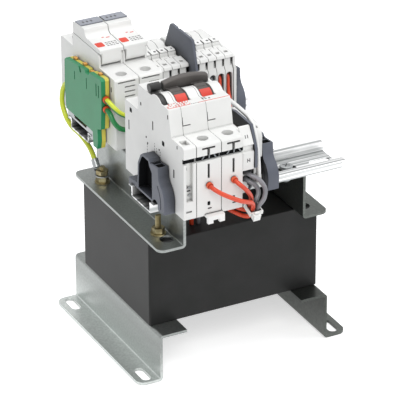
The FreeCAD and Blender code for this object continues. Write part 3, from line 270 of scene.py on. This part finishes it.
def softened(name, finish, width, steps=2, sharp=35.0):
    """A node's own shape with its edges broken as in the real moulding or pressing."""
    piece = bpy.data.objects.new(name + "_piece", node[name].data.copy())
    bpy.context.collection.objects.link(piece)
    alone(piece)
    bpy.ops.mesh.customdata_custom_splitnormals_clear()
    edit_all(piece)
    bpy.ops.mesh.remove_doubles(threshold=0.000002)
    bpy.ops.mesh.dissolve_limited(angle_limit=math.radians(0.4))
    bpy.ops.object.mode_set(mode="OBJECT")
    if width:
        round_edges(piece, width, steps, sharp)
    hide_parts(name)
    return settle(piece, name + "_piece", finish, body_of[name])


def painted_crevice_shade(finish, reach, deepest, shut=0.25, clear=0.85):
    """Paints shade into a finish in gaps, slots and corners narrower than a reach in millimetres.
    """
    openness = finish.node_tree.nodes.new("ShaderNodeAmbientOcclusion")
    openness.samples = 8
    openness.inputs["Distance"].default_value = reach * 0.001
    scaled(finish, ranged(finish, openness.outputs["AO"], deepest, 1.0, shut, clear))


def zinc_coat(name, dark, light, at_floor, above):
    """Hot-dip zinc: a fine grain, a slow cloud in the gloss, painted shade in gaps, and painted
    light by height: the colour is scaled by at_floor near the floor and by above from 24 mm up.
    """
    finish = new_finish(name, light, 0.34, metallic=0.88)
    grain = texture(finish, "ShaderNodeTexNoise", 700.0, Detail=5.0)
    cloud = texture(finish, "ShaderNodeTexNoise", 28.0, Detail=4.0)
    colours_from(finish, grain.outputs["Fac"], dark, light, 0.25, 0.75)
    roughness_from(finish, cloud.outputs["Fac"], 0.24, 0.42)
    bump_from(finish, cloud.outputs["Fac"], 0.15, 0.0005)
    painted_crevice_shade(finish, 14.0, 0.35, 0.12, 0.5)
    nodes = finish.node_tree.nodes
    parts = nodes.new("ShaderNodeSeparateXYZ")
    place = nodes.new("ShaderNodeTexCoord")
    finish.node_tree.links.new(place.outputs["Object"], parts.inputs[0])
    scaled(finish, ranged(finish, parts.outputs["Z"], at_floor, above, 0.002, 0.024))
    return finish


# Painted light on the feet and brackets: the left pair is brightened near the floor as a painted
# reflection of the floor, and the right foot and bracket are darker copies, painted shade under the
# block.
floor_lit_zinc = zinc_coat("floor_lit_zinc", "8c908e", "a4a8a6", 1.8, 0.9)
shaded_foot_zinc = zinc_coat("shaded_foot_zinc", "646864", "7c807c", 0.65, 0.4)
shaded_zinc = zinc_coat("shaded_zinc", "646864", "7c807c", 0.7, 0.7)
for pressing, finish in (("foot_left", floor_lit_zinc), ("rail_bracket_left", floor_lit_zinc),
                         ("foot_right", shaded_foot_zinc), ("rail_bracket_right", shaded_zinc)):
    softened(pressing, finish, 0.18, 2, 50.0)

# The transformer block: charcoal casting resin poured round the core and the windings, satin and
# smooth, with a narrow rounding along its edges. The core is stacked sheet, the windings copper.


def sheen(finish, level):
    """Sets how much a plastic mirrors."""
    finish.node_tree.nodes["Principled BSDF"].inputs["Specular IOR Level"].default_value = level


def dress(finish, *names):
    """Gives CAD nodes their finish."""
    for name in names:
        node[name].data.materials.clear()
        node[name].data.materials.append(finish)


resin = new_finish("casting_resin", "262726", 0.5)
sheen(resin, 0.22)
resin_cloud = texture(resin, "ShaderNodeTexNoise", 55.0, Detail=6.0)
colours_from(resin, resin_cloud.outputs["Fac"], "191a19", "222222", 0.3, 0.7)
resin_grain = texture(resin, "ShaderNodeTexNoise", 1500.0, Detail=3.0)
bump_from(resin, resin_grain.outputs["Fac"], 0.12, 0.0001)
roughness_from(resin, resin_cloud.outputs["Fac"], 0.38, 0.5)
softened("potted_block", resin, 0.5, 3, 50.0)
core_steel = new_finish("core_steel", "6f7377", 0.4, metallic=0.9)
stack = texture(core_steel, "ShaderNodeTexWave", 320.0)
stack.bands_direction = "Z"
bump_from(core_steel, stack.outputs["Fac"], 0.5, 0.0002)
dress(core_steel, "e_laminations", "i_laminations")
former_nylon = new_finish("former_nylon", "d8cdb0", 0.5)
former_cloud = texture(former_nylon, "ShaderNodeTexNoise", 300.0)
bump_from(former_nylon, former_cloud.outputs["Fac"], 0.1, 0.0001)
dress(former_nylon, "coil_former")
enamelled_copper = new_finish("enamelled_copper", "b5652f", 0.3, metallic=0.8)
turns = texture(enamelled_copper, "ShaderNodeTexWave", 500.0)
turns.bands_direction = "Y"
bump_from(enamelled_copper, turns.outputs["Fac"], 0.8, 0.0003)
dress(enamelled_copper, "primary_winding", "secondary_winding")

# Four through bolts with washers and nuts: yellow-passivated steel, rolled threads above the
# block, chamfered hexagons. They clamp feet, block and brackets, and one carries the earth ring.
thread_radius, thread_pitch, thread_start = 2.0, 0.7, 97.0
stud_from_side, stud_from_front = 10.8, 8.0
nut_across, nut_height, nut_top = 7.6, 3.8, 101.9
lock_nut_height, lock_nut_top = 3.2, 106.3


def mm(x, y, z):
    """A point in metres from millimetres."""
    return Vector((x, y, z)) * 0.001


def cut(piece, tool, way="DIFFERENCE"):
    """Cuts a piece with a tool, or keeps only what both share, and takes the tool away."""
    alone(piece)
    carve = piece.modifiers.new("carve", "BOOLEAN")
    carve.operation = way
    carve.solver = "EXACT"
    carve.object = tool
    bpy.ops.object.modifier_apply(modifier="carve")
    bpy.data.objects.remove(tool)


def turned(radius, height, top, edge=0.3, sides=32):
    """A turned disc or pin that ends at a height, with both rims broken."""
    bpy.ops.object.select_all(action="DESELECT")
    bpy.ops.mesh.primitive_cylinder_add(vertices=sides, radius=radius * 0.001, depth=height * 0.001,
                                        location=mm(0, 0, top - height / 2))
    disc = bpy.context.object
    if edge:
        round_edges(disc, edge, 2, 60.0)
    return disc


def hexagon(across, height, top):
    """A hexagon whose corners are turned off at both ends."""
    corner = across / math.sqrt(3)
    prism = turned(corner, height, top, edge=0, sides=6)
    cut(prism, turned(corner + 0.02, height, top, edge=0.55, sides=48), "INTERSECT")
    return prism


def threaded(radius, pitch, low, high):
    """A closed length of screw thread between two heights."""
    flank = bpy.data.meshes.new("thread")
    root = radius - 0.55 * pitch
    ridge = [(root, 0), (radius, 0.45 * pitch), (radius, 0.55 * pitch), (root, pitch)]
    flank.from_pydata([mm(r, 0, low - 2 * pitch + z) for r, z in ridge],
                      [(0, 1), (1, 2), (2, 3)], [])
    thread = bpy.data.objects.new("thread", flank)
    bpy.context.collection.objects.link(thread)
    alone(thread)
    sweep = thread.modifiers.new("sweep", "SCREW")
    sweep.screw_offset = pitch * 0.001
    sweep.steps = sweep.render_steps = 28
    sweep.iterations = int((high - low) / pitch) + 4
    sweep.use_merge_vertices = False
    bpy.ops.object.modifier_apply(modifier="sweep")
    edit_all(thread)
    bpy.ops.mesh.remove_doubles(threshold=0.000005)
    for height, way in ((low, -1), (high, 1)):
        bpy.ops.mesh.bisect(plane_co=mm(0, 0, height), plane_no=(0, 0, way), clear_outer=True,
                            use_fill=True)
        bpy.ops.mesh.select_all(action="SELECT")
    bpy.ops.mesh.normals_make_consistent(inside=False)
    bpy.ops.object.mode_set(mode="OBJECT")
    return thread


def together(pieces):
    """Joins pieces into one mesh."""
    alone(pieces[0])
    for piece in pieces:
        piece.select_set(True)
    bpy.ops.object.join()
    return pieces[0]


def stood(master, places):
    """A small part that is modelled once and stood at each place, turned about the upright."""
    made = []
    for x, y, z, turn in places:
        alone(master)
        bpy.ops.object.duplicate(linked=False)
        twin = bpy.context.object
        twin.location = twin.location + mm(x, y, z)
        twin.rotation_euler.z = math.radians(turn)
        made.append(twin)
    bpy.data.objects.remove(master)
    return together(made)


yellow_zinc = new_finish("yellow_zinc", "948a68", 0.34, metallic=0.85)
passivation = texture(yellow_zinc, "ShaderNodeTexNoise", 260.0, Detail=3.0)
colours_from(yellow_zinc, passivation.outputs["Fac"], "76694a", "b0a682", 0.3, 0.7)
bright_zinc = new_finish("bright_zinc", "a4a7a8", 0.3, metallic=0.9)
zinc_wear = texture(bright_zinc, "ShaderNodeTexNoise", 500.0, Detail=3.0)
roughness_from(bright_zinc, zinc_wear.outputs["Fac"], 0.24, 0.42)
bump_from(bright_zinc, zinc_wear.outputs["Fac"], 0.06, 0.0001)

block_low, block_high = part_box("potted_block")
stud_front = block_low.y * 1000 + stud_from_front
stud_back = block_high.y * 1000 - stud_from_front
bolt_x = block_high.x * 1000 - stud_from_side
bolt_low, bolt_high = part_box("through_bolts")
bolt_end = bolt_high.z * 1000
bolt_foot = bolt_low.z * 1000
bolts = []
for end, places in (
        (bolt_end + 2.0, [(-bolt_x, stud_front), (bolt_x, stud_front), (bolt_x, stud_back)]),
        (bolt_end, [(-bolt_x, stud_back)])):
    shank = turned(thread_radius, thread_start - bolt_foot - 1.0, thread_start, edge=0, sides=40)
    bolt = together([shank, threaded(thread_radius, thread_pitch, thread_start, end),
                     hexagon(7.0, 3.0, bolt_foot + 3.5)])
    bolts.append(stood(bolt, [(x, y, 0, 30) for x, y in places]))
bolts = together(bolts)
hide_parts("through_bolts")
settle(bolts, "threaded_bolts", yellow_zinc, "chassis", 30.0)
softened("bolt_washers", yellow_zinc, 0.15, 2, 60.0)
nuts = []
for x, y, turn in ((-bolt_x, stud_front, 10), (bolt_x, stud_front, 25), (bolt_x, stud_back, 40),
                   (-bolt_x, stud_back, 5)):
    nuts.append(stood(hexagon(nut_across, nut_height, nut_top), [(x, y, 0, turn)]))
lock_nut = hexagon(nut_across, lock_nut_height, lock_nut_top)
nuts.append(stood(lock_nut, [(-bolt_x, stud_back, 0, 22)]))
nuts = together(nuts)
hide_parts("bolt_nuts")
settle(nuts, "hexagon_nuts", yellow_zinc, "chassis", 30.0)

# The two rails: rolled 35 mm steel with a row of long slots, bright zinc, with fine lines and
# stripes along the rolling direction. Two screws hold each rail to the brackets.
rolled_zinc = new_finish("rolled_zinc", "b3b6b6", 0.32, metallic=0.85)
rolling = texture(rolled_zinc, "ShaderNodeTexNoise", 420.0, stretch=(0.01, 1, 1), Detail=5.0)
colours_from(rolled_zinc, rolling.outputs["Fac"], "a4a7a7", "fafafa", 0.42, 0.56)
roughness_from(rolled_zinc, rolling.outputs["Fac"], 0.26, 0.42)
bump_from(rolled_zinc, rolling.outputs["Fac"], 0.1, 0.0001)
# Painted shade: the rails are darkened strongly where other parts close over them, as under the
# modules and clamps, with painted darker reflections there.
painted_crevice_shade(rolled_zinc, 22.0, 0.06, 0.2, 0.5)
for rail in ("front_rail", "rear_rail"):
    softened(rail, rolled_zinc, 0.12, 1, 50.0)


def small_block(size, place, turn=(0, 0, 0), edge=0.0):
    """A block of three sizes in millimetres, turned in degrees, with its edges broken."""
    bpy.ops.object.select_all(action="DESELECT")
    bpy.ops.mesh.primitive_cube_add(size=0.001, location=mm(*place),
                                    rotation=[math.radians(angle) for angle in turn])
    block = bpy.context.object
    block.scale = size
    bpy.ops.object.transform_apply(location=False, rotation=False, scale=True)
    if edge:
        round_edges(block, edge, 2, 50.0)
    return block


def cross_slot(piece, reach, width, depth, top):
    """Sinks a cross into the head of a screw."""
    for turn in (0, 90):
        cut(piece, small_block((reach * 2, width, depth * 2), (0, 0, top), (0, 0, turn)))


rail_y = {rail: (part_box(rail)[0].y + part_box(rail)[1].y) * 500
          for rail in ("front_rail", "rear_rail")}
front_y, rear_y = rail_y["front_rail"], rail_y["rear_rail"]
rail_screw_x = 35.7
rail_screw_top = 132.5
pan_head = turned(4.5, 3.0, rail_screw_top, edge=0.9, sides=40)
cross_slot(pan_head, 2.6, 0.9, 1.6, rail_screw_top)
rail_screw = together([pan_head, threaded(2.5, 0.8, 121.0, 129.6)])
rail_screws = stood(rail_screw, [(x, y, 0, turn)
                                 for x, turn in ((-rail_screw_x, 20), (rail_screw_x, 55))
                                 for y in (front_y, rear_y)])
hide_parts("rail_screws")
settle(rail_screws, "rail_pan_screws", bright_zinc, "chassis", 30.0)
softened("rail_nuts", bright_zinc, 0.35, 2, 50.0)

# Three end clamps: dark blue-grey nylon, hollow from one side, with a ribbed grip and a slotted
# screw sunk in the mouth. They hold the modules together on the rails.
rail_face = 136


def moulded(name, colour, darker, roughness=0.42, reach=2.5, deepest=0.12, shut=0.25, clear=0.85):
    """Moulded plastic: a fine grain, a slow drift of tone, and painted shade in narrow gaps."""
    finish = new_finish(name, colour, roughness)
    grain = texture(finish, "ShaderNodeTexNoise", 2200.0, Detail=2.0)
    tone = texture(finish, "ShaderNodeTexNoise", 40.0, Detail=3.0)
    colours_from(finish, tone.outputs["Fac"], darker, colour, 0.35, 0.6)
    bump_from(finish, grain.outputs["Fac"], 0.1, 0.0001)
    painted_crevice_shade(finish, reach, deepest, shut, clear)
    return finish


# The dark plastic is strongly darkened in hollows up to 14 mm across, as painted shade.
dark_plastic = moulded("dark_plastic", "585c67", "51555f", 0.48, 14.0, 0.03, 0.42, 0.9)
# The next finish is near-black and paints the shade inside hollows, slots and holes.
painted_hollow_shade = moulded("painted_hollow_shade", "0e0f12", "0b0c0e", 0.7)
sheen(painted_hollow_shade, 0.1)
for side, left, middle in (("front_left", -68.9, front_y), ("front_right", 6.2, front_y),
                           ("rear", 40.5, rear_y)):
    clamp = softened("end_clamp_" + side, dark_plastic, 0.3, 2, 40.0)
    clamp.data.materials.append(painted_hollow_shade)
    # The faces inside the clamp's hollow take the near-black finish: painted shade inside the
    # hollow.
    for face in clamp.data.polygons:
        at = face.center * 1000 - Vector((left, middle, rail_face))
        if 0.4 < at.x < 6.7 and -12.8 < at.y < 7.1 and 2.0 < at.z < 27.2:
            face.material_index = 1
softened("clamp_screws", bright_zinc, 0.2, 2, 50.0)

# The narrow contact block: pale grey housing with a barrel on top, a black toggle with a round
# knob that the breaker's bar carries along, and a sunk channel with two small contact tongues.
pale_plastic = moulded("pale_plastic", "e6e6e4", "e1e1df")
black_plastic = moulded("black_plastic", "1d1d1d", "191919", 0.4)
softened("contact_housing", pale_plastic, 0.25)
softened("contact_toggle", black_plastic, 0.35, 3)
contact_face = -60.92


def side_field(y, z, width, height):
    """A field on the block's left face: its middle above the rail, its width and height."""
    return contact_face, front_y + y, rail_face + z, width, height, 90, -90


# Dark fields on the contact block's left face: black fills that paint the shade in its slots and
# holes, and rows of small dark marks.
side_shade_and_marks = []
for y, low, high, width in ((-20.1, 59.8, 62.6, 0.9), (1.4, 43.1, 49.2, 0.9),
                            (18.3, 53.4, 55.6, 1.1), (36.1, 28.8, 35.4, 0.9),
                            (-32.9, 44.4, 46.6, 0.7), (-28.1, 22.1, 27.8, 1.1)):
    side_shade_and_marks.append(side_field(y, (low + high) / 2, width, high - low))
for y, z, across in ((33.1, 43.8, 3.0), (-13.4, 39.8, 3.2), (11.0, 34.0, 1.1), (8.9, 30.6, 1.1),
                     (-7.6, 32.9, 1.1)):
    side_shade_and_marks.append(side_field(y, z, across, across))
for y, low, count in ((9.4, 22.0, 5), (-1.2, 25.0, 6), (-4.0, 22.6, 6), (-9.0, 24.0, 5)):
    for i in range(count):
        side_shade_and_marks.append(side_field(y, low + 1.9 * i, 0.5, 1.1 - 0.4 * (i % 2)))
contact_metal = turned(0.9, 0.8, 0, edge=0.2, sides=24)
cross_slot(contact_metal, 0.6, 0.3, 0.3, 0)
contact_metal.rotation_euler.x = math.radians(90)
contact_screws = stood(contact_metal, [(-55.9, front_y - 39.6, z, 0) for z in (155.6, 150.2)])
settle(contact_screws, "contact_test_screws", bright_zinc, "chassis",
       30.0)

# The two-pole breaker: two pale grey poles side by side, a dark bar across both levers, red flags
# in the windows, and pad-printed red and dark fields on the flat top of the nose.
pole_x = (-43.1, -25.4)
screw_reach = 33.4
screw_top = 180.9
warm_black = moulded("warm_black", "54504d", "4c4846", 0.55, 8.0, 0.1)
for pole in ("breaker_pole_left", "breaker_pole_right"):
    softened(pole, pale_plastic, 0.25)
softened("breaker_handle", warm_black, 0.5, 3, 40.0)
red_plastic = moulded("red_plastic", "d64131", "cc3a2b")
flags = softened("breaker_position_flags", red_plastic, 0.08, 1, 50.0)
edit_all(flags)
bpy.ops.mesh.bisect(plane_co=mm(0, -55.9, 0), plane_no=(0, 1, 0), clear_outer=True, use_fill=True)
bpy.ops.object.mode_set(mode="OBJECT")

screw_steel = new_finish("screw_steel", "85888a", 0.34, metallic=0.85)
screw_wear = texture(screw_steel, "ShaderNodeTexNoise", 600.0, Detail=3.0)
roughness_from(screw_steel, screw_wear.outputs["Fac"], 0.26, 0.44)
terminal_head = turned(3.3, 3.0, screw_top, edge=0.5, sides=40)
cross_slot(terminal_head, 2.3, 0.8, 1.5, screw_top)
terminal_screw = together([terminal_head, threaded(2.0, 0.7, 166.9, 178.0)])
alone(terminal_screw)
bpy.ops.object.duplicate(linked=False)
fuse_screw = bpy.context.object
breaker_screws = stood(terminal_screw, [(x, front_y + side, 0, turn)
                                        for x, turn in zip(pole_x, (15, 60))
                                        for side in (-screw_reach, screw_reach)])
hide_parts("breaker_terminal_screws")
settle(breaker_screws, "breaker_cross_screws", screw_steel, "chassis",
       30.0)

field_rise, field_sink = 0.05, 0.04


def print_and_shade_fields(name, finish, marks, body):
    """Thin flat fields, each a slab with soft corners, for print and for painted shade: middle,
    width, height, lean and turn.
    """
    made = []
    for x, y, z, width, height, lean, side in marks:
        bpy.ops.object.select_all(action="DESELECT")
        bpy.ops.mesh.primitive_plane_add(size=0.001, location=mm(x, y, z),
                                         rotation=(math.radians(lean), 0, math.radians(side)))
        field = bpy.context.object
        field.scale = (width, height, 1)
        bpy.ops.object.transform_apply(location=False, rotation=False, scale=True)
        edit_all(field)
        bpy.ops.mesh.bevel(offset=min(width, height) * 0.00018, segments=3, affect="VERTICES")
        bpy.ops.object.mode_set(mode="OBJECT")
        made.append(field)
    joined_fields = together(made)
    field_slab = joined_fields.modifiers.new("field_slab", "SOLIDIFY")
    field_slab.thickness = (field_rise + field_sink) * 0.001
    field_slab.offset = (field_rise - field_sink) / (field_rise + field_sink)
    bpy.ops.object.modifier_apply(modifier="field_slab")
    return settle(joined_fields, name, finish, body)


red_ink = moulded("red_ink", "d8432f", "cf3c2a", 0.5)
dark_ink = moulded("dark_ink", "3a3a3e", "333337", 0.5)


def nose_field(x, y, width, height):
    """A field on the nose's flat top, which rises a little to the back."""
    return x, y, 202.6 + (y - front_y + 19.8) * 0.5 / 41.1, width, height, 0.7, 0


def front_field(x, rail, reach, z, width, height, lean=90):
    """A field on a front face, at a reach before a rail's middle and a height above its face."""
    return x, rail - reach, rail_face + z, width, height, lean, 0


red_fields = [nose_field(-52.2, -69.1, 15.6, 0.5), nose_field(-28.3, -69.1, 22.0, 0.5)]
for row, y in enumerate((-67.9, -66.5, -65.1, -63.7)):
    for column in range(9):
        if (row * 5 + column * 7) % 6 != 1 and (column > 0 or row < 2):
            red_fields.append(nose_field(-59.6 + column * 1.9 + row % 2 * 0.4, y,
                                         1.3 - 0.3 * (column % 3), 0.7 + 0.3 * (column in (5, 6))))
print_and_shade_fields("nose_red_print", red_ink, red_fields, "chassis")
dark_marks = [nose_field(-43.6 + i * 1.5, -69.1, 0.8, 0.6) for i in range(4)]
dark_marks += [nose_field(-34.0, -65.2, 0.9, 2.4), nose_field(-32.2, -66.2, 1.4, 0.8),
               nose_field(-32.2, -64.4, 1.4, 0.8), nose_field(-29.8, -66.4, 1.2, 1.2)]
print_and_shade_fields("nose_dark_print", dark_ink, dark_marks, "chassis")
print_and_shade_fields("contact_side_shade_and_marks", painted_hollow_shade, side_shade_and_marks, "chassis")
gap_height = 38.4
# Near-black fields in the breaker's gap band, its slots and its wire entries: painted shade inside
# the housing.
gap_shade_fields = [front_field(x, front_y, 39.75, gap_height, width, 3.4)
              for x, width in ((-43.1, 16.6), (-25.9, 16.6), (-56.5, 8.2))]
gap_shade_fields += [front_field(-58.0, front_y, 39.5, 32.6, 1.0, 2.0),
               front_field(-57.8, front_y, 39.5, 19.8, 1.2, 2.4),
               front_field(-56.2, front_y, 39.5, 16.8, 2.4, 0.7)]
for x in pole_x:
    gap_shade_fields += [front_field(x, front_y, 40.0, 45.2, 9.0, 1.1),
                   front_field(x, front_y, 40.0, 41.8, 1.6, 5.2),
                   front_field(x, front_y, 39.5, 29.0, 1.3, 9.8),
                   front_field(x, front_y, 42.0, 6.2, 1.8, 2.6),
                   front_field(x + 0.6, front_y, 42.0, 2.6, 2.6, 0.7)]
print_and_shade_fields("breaker_inner_shade", painted_hollow_shade, gap_shade_fields, "chassis")
levers = []
for x in pole_x:
    for offset, lean in ((-3.2, 30), (1.0, 0), (5.0, -30)):
        middle = (x + offset, front_y - 40.3, rail_face + gap_height)
        levers.append(small_block((0.8, 0.8, 3.4), middle, (0, lean, 0), edge=0.15))
settle(together(levers), "clamp_levers", screw_steel, "chassis")
white_nylon = moulded("white_nylon", "efefed", "e9e9e7")
softened("breaker_rail_clip", white_nylon, 0.2)

# Terminal blocks on the front rail: pale grey slices with a dark plate between them, white marker
# tags with small marks, spring entries low down, held by the right end clamp.
for number, width in ((1, 0.3), (2, 0.2), (3, 0.2)):
    softened("front_terminal_%d" % number, pale_plastic, width)
softened("front_end_plate", dark_plastic, 0.2)
tag_lean = math.degrees(math.atan2(10.6, 6.0))
tag_fields = []
for x in (-13.2, -11.6):
    tag_fields += [front_field(x, front_y, 34.6, 42.95, 0.5, 2.2, tag_lean),
                   front_field(x, front_y, 37.85, 27.6, 0.5, 2.6, 91.8)]
tag_fields.append(front_field(-12.4, front_y, 37.85, 27.6, 0.9, 0.5, 91.8))
print_and_shade_fields("front_tag_marks", dark_ink, tag_fields, "chassis")

# The earth terminal: two moulded half shells, green and yellow, clipped together on a metal foot
# that bites the rail. Small orange test tabs stand along its top.
green_plastic = moulded("green_plastic", "25885a", "218153")
yellow_plastic = moulded("yellow_plastic", "d3c755", "cbbf4c")
softened("earth_terminal_green", green_plastic, 0.25)
softened("earth_terminal_yellow", yellow_plastic, 0.25)
softened("earth_terminal_foot", bright_zinc, 0.15, 1, 50.0)
orange_plastic = moulded("orange_plastic", "dfa552", "d59b49")
earth_tabs = []
for y, z in ((-25.0, 183.2), (-13.4, 180.0), (-1.5, 180.9), (13.0, 179.2)):
    earth_tabs.append(small_block((2.4, 3.4, 1.6), (-57.6, rear_y + y, z), edge=0.3))
settle(together(earth_tabs), "earth_test_tabs", orange_plastic, "chassis")

# The two-pole fuse unit: pale bases, hinged drawers that carry the glass fuses, clear grey label
# caps on the drawers' ridges, and red and dark print on their flat fronts.
fuse_x = {"left": -46.55, "right": -28.85}
label_y, label_z, label_lean = 74.9, 203.25, -3.26
drawer_plastic = moulded("drawer_plastic", "e9e9e7", "e4e4e2", 0.4, 1.5, 0.6)
for name in ("fuse_base_left", "fuse_base_right"):
    softened(name, drawer_plastic, 0.25)
# Near-black fields in the fuse bases' slits, band and openings: painted shade inside the housing.
fuse_shade_fields = []
for x in fuse_x.values():
    fuse_shade_fields += [front_field(x + 2.35, rear_y, 40.5, z, 7.5, 0.8) for z in (35.45, 38.95, 42.45)]
    fuse_shade_fields += [front_field(x, rear_y, 40.5, 46.1, 12.6, 0.9),
                  front_field(x, rear_y, 40.0, 19.5, 3.2, 3.2)]
fuse_shade_fields.append((-55.32, rear_y - 36.5, rail_face + 40.0, 1.0, 3.4, 90, -90))
print_and_shade_fields("fuse_inner_shade", painted_hollow_shade, fuse_shade_fields, "chassis")
for name in ("fuse_drawer_left", "fuse_drawer_right"):
    softened(name, drawer_plastic, 0.3)
fuse_screws = stood(fuse_screw, [(x, rear_y + side, 0, turn)
                                 for x, turn in zip(fuse_x.values(), (75, 25))
                                 for side in (-screw_reach, screw_reach)])
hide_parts("fuse_terminal_screws")
settle(fuse_screws, "fuse_cross_screws", screw_steel, "chassis",
       30.0)
softened("fuse_rail_clip", white_nylon, 0.2)

ceramic = moulded("fuse_ceramic", "e9e6dd", "e3e0d6", 0.28)
cap_metal = new_finish("fuse_cap_metal", "c9cbcd", 0.22, metallic=0.95)
cap_wear = texture(cap_metal, "ShaderNodeTexNoise", 700.0, Detail=2.0)
roughness_from(cap_metal, cap_wear.outputs["Fac"], 0.16, 0.3)
label_clear = moulded("label_clear", "8f939d", "878b95", 0.2)


def drawer_field(x, y, width, height):
    """A field on the flat front part of a drawer, which rises to the back."""
    return x, y, 197.4 + (y - rear_y + 18.2) * 0.8 / 16.2, width, height, 2.8, 0


for side, x in fuse_x.items():
    drawer = "drawer_" + side
    link_low, link_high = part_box("fuse_link_" + side)
    link_z = (link_low.z + link_high.z) * 500
    link_y = (link_low.y + link_high.y) * 500
    tube = turned(4.05, 22.0, 11.0, edge=0.2, sides=40)
    tube.rotation_euler.x = math.radians(90)
    tube.location = mm(x, link_y, link_z)
    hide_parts("fuse_link_" + side)
    settle(tube, "fuse_tube_" + side, ceramic, drawer)
    ends = []
    for end in (-1, 1):
        cap = turned(4.25, 6.3, 3.15, edge=0.5, sides=40)
        cap.rotation_euler.x = math.radians(90)
        cap.location = mm(x, link_y + end * 12.6, link_z)
        ends.append(cap)
    settle(together(ends), "fuse_caps_" + side, cap_metal, drawer)

    label = small_block((16.4, 9.4, 1.1), (x, label_y, label_z), (label_lean, 0, 0))
    bpy.ops.object.mode_set(mode="EDIT")
    bpy.ops.mesh.select_mode(type="FACE")
    bpy.ops.object.mode_set(mode="OBJECT")
    for face in label.data.polygons:
        face.select = face.normal.z > 0.9
    bpy.ops.object.mode_set(mode="EDIT")
    bpy.ops.mesh.inset(thickness=0.0007)
    bpy.ops.transform.translate(value=(0, 0, -0.0003))
    bpy.ops.object.mode_set(mode="OBJECT")
    round_edges(label, 0.2, 2, 50.0)
    settle(label, "drawer_label_" + side, label_clear, drawer)

    left = x - 8.65
    print_and_shade_fields("drawer_red_print_" + side, red_ink,
            [drawer_field(left + 3.6, 48.4, 5.6, 6.4), drawer_field(left + 13.4, 56.6, 2.6, 1.0),
             drawer_field(left + 10.2, 57.6, 1.6, 1.0)], drawer)
    dark_fields = [drawer_field(left + 8.6 + i * 2.2, y, 1.4 + 0.4 * ((i + row) % 2), 0.8)
                   for row, y in enumerate((45.4, 47.6, 49.8)) for i in range(4)]
    dark_fields += [(x - 4.6 + i * 3.0, label_y, label_z + 0.29, 1.0, 2.6, label_lean, 0)
                    for i in range(3)]
    print_and_shade_fields("drawer_dark_print_" + side, dark_ink, dark_fields, drawer)

# Nine terminal blocks on the rear rail: pale grey slices with test holes, parted by a dark plate,
# closed by a pale end plate and the rear clamp.
slice_width = 6.2
slices_x = [start + slice_width * (i + 0.5) for start, count in ((-19.7, 4), (7.3, 5))
            for i in range(count)]
for name in ("rear_terminals_left", "rear_terminals_right"):
    softened(name, pale_plastic, 0.4)
tag_white = moulded("tag_white", "f1f1ef", "ececea", 0.35)
rear_tag = small_block((5.2, 6.4, 1.0), (0, rear_y - 8.1, 182.0), edge=0.25)
rear_tags = stood(rear_tag, [(x, 0, 0, 0) for x in slices_x])
settle(rear_tags, "rear_marker_tags", tag_white, "chassis")
print_and_shade_fields("rear_tag_marks", dark_ink,
        [(x + 0.8 * (i % 2), rear_y - 8.6, 182.5, 1.6 - 0.5 * (i % 3 == 0), 1.8, 0, 0)
         for i, x in enumerate(slices_x)], "chassis")
softened("partition_plate", dark_plastic, 0.25)
softened("rear_end_plate", pale_plastic, 0.2)

# Wires: stranded copper in extruded insulation, satin and a little uneven, held in clamps, a cable
# tie and a ring. The earth wires are green and yellow, seen from their yellow or green side.


def insulation(name, colour, darker):
    """Extruded insulation: a slow drift of tone, a thin gloss, and painted shade in the bundle."""
    finish = new_finish(name, colour, 0.34, coat=0.1)
    tone = texture(finish, "ShaderNodeTexNoise", 120.0, Detail=2.0)
    colours_from(finish, tone.outputs["Fac"], darker, colour, 0.35, 0.65)
    painted_crevice_shade(finish, 8.0, 0.25, 0.3, 0.8)
    return finish


red_insulation = insulation("red_insulation", "dc4824", "d03f1e")
grey_insulation = insulation("grey_insulation", "85858a", "7c7c81")
white_insulation = insulation("white_insulation", "ececea", "e5e5e3")
for run, finish in (("breaker_wires", red_insulation), ("rear_wires_red", red_insulation),
                    ("grey_wires", grey_insulation), ("rear_wire_grey", grey_insulation),
                    ("white_wire", white_insulation)):
    softened(run, finish, 0)


def striped(name, direction, edge):
    """Green insulation with a lengthwise yellow stripe on the side that faces a direction."""
    finish = new_finish(name, "0f7d3e", 0.34, coat=0.1)
    nodes = finish.node_tree.nodes
    links = finish.node_tree.links
    facing = nodes.new("ShaderNodeVectorMath")
    facing.operation = "DOT_PRODUCT"
    facing.inputs[1].default_value = Vector(direction).normalized()
    links.new(nodes.new("ShaderNodeTexCoord").outputs["Normal"], facing.inputs[0])
    colours_from(finish, facing.outputs["Value"], "0f7d3e", "cfdb3a", edge, edge + 0.06)
    return finish


earth_pair = softened("earth_wires", striped("earth_upper", (0.1, -0.3, 1), 0.05), 0)
softened("bond_wire", striped("bond_stripe", (-0.7, -0.5, 0.5), 0.1), 0)
edit_all(earth_pair)
bpy.ops.mesh.separate(type="LOOSE")
bpy.ops.object.mode_set(mode="OBJECT")
earth_runs = sorted(bpy.context.selected_objects,
                    key=lambda piece: max(v.co.z for v in piece.data.vertices))
earth_runs[0].data.materials.clear()
earth_runs[0].data.materials.append(striped("earth_lower", (0, 0.6, 1), 0.8))
for number, piece in enumerate(earth_runs):
    if piece is not earth_pair:
        piece.name = "earth_run_%d" % number
        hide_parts("earth_wires")
        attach(piece, "chassis")
collar_red = moulded("collar_red", "e0582f", "d64f28", 0.4)
softened("wire_sleeves", collar_red, 0.15)
softened("cable_tie", white_nylon, 0.15)
softened("ring_terminal", bright_zinc, 0.1)
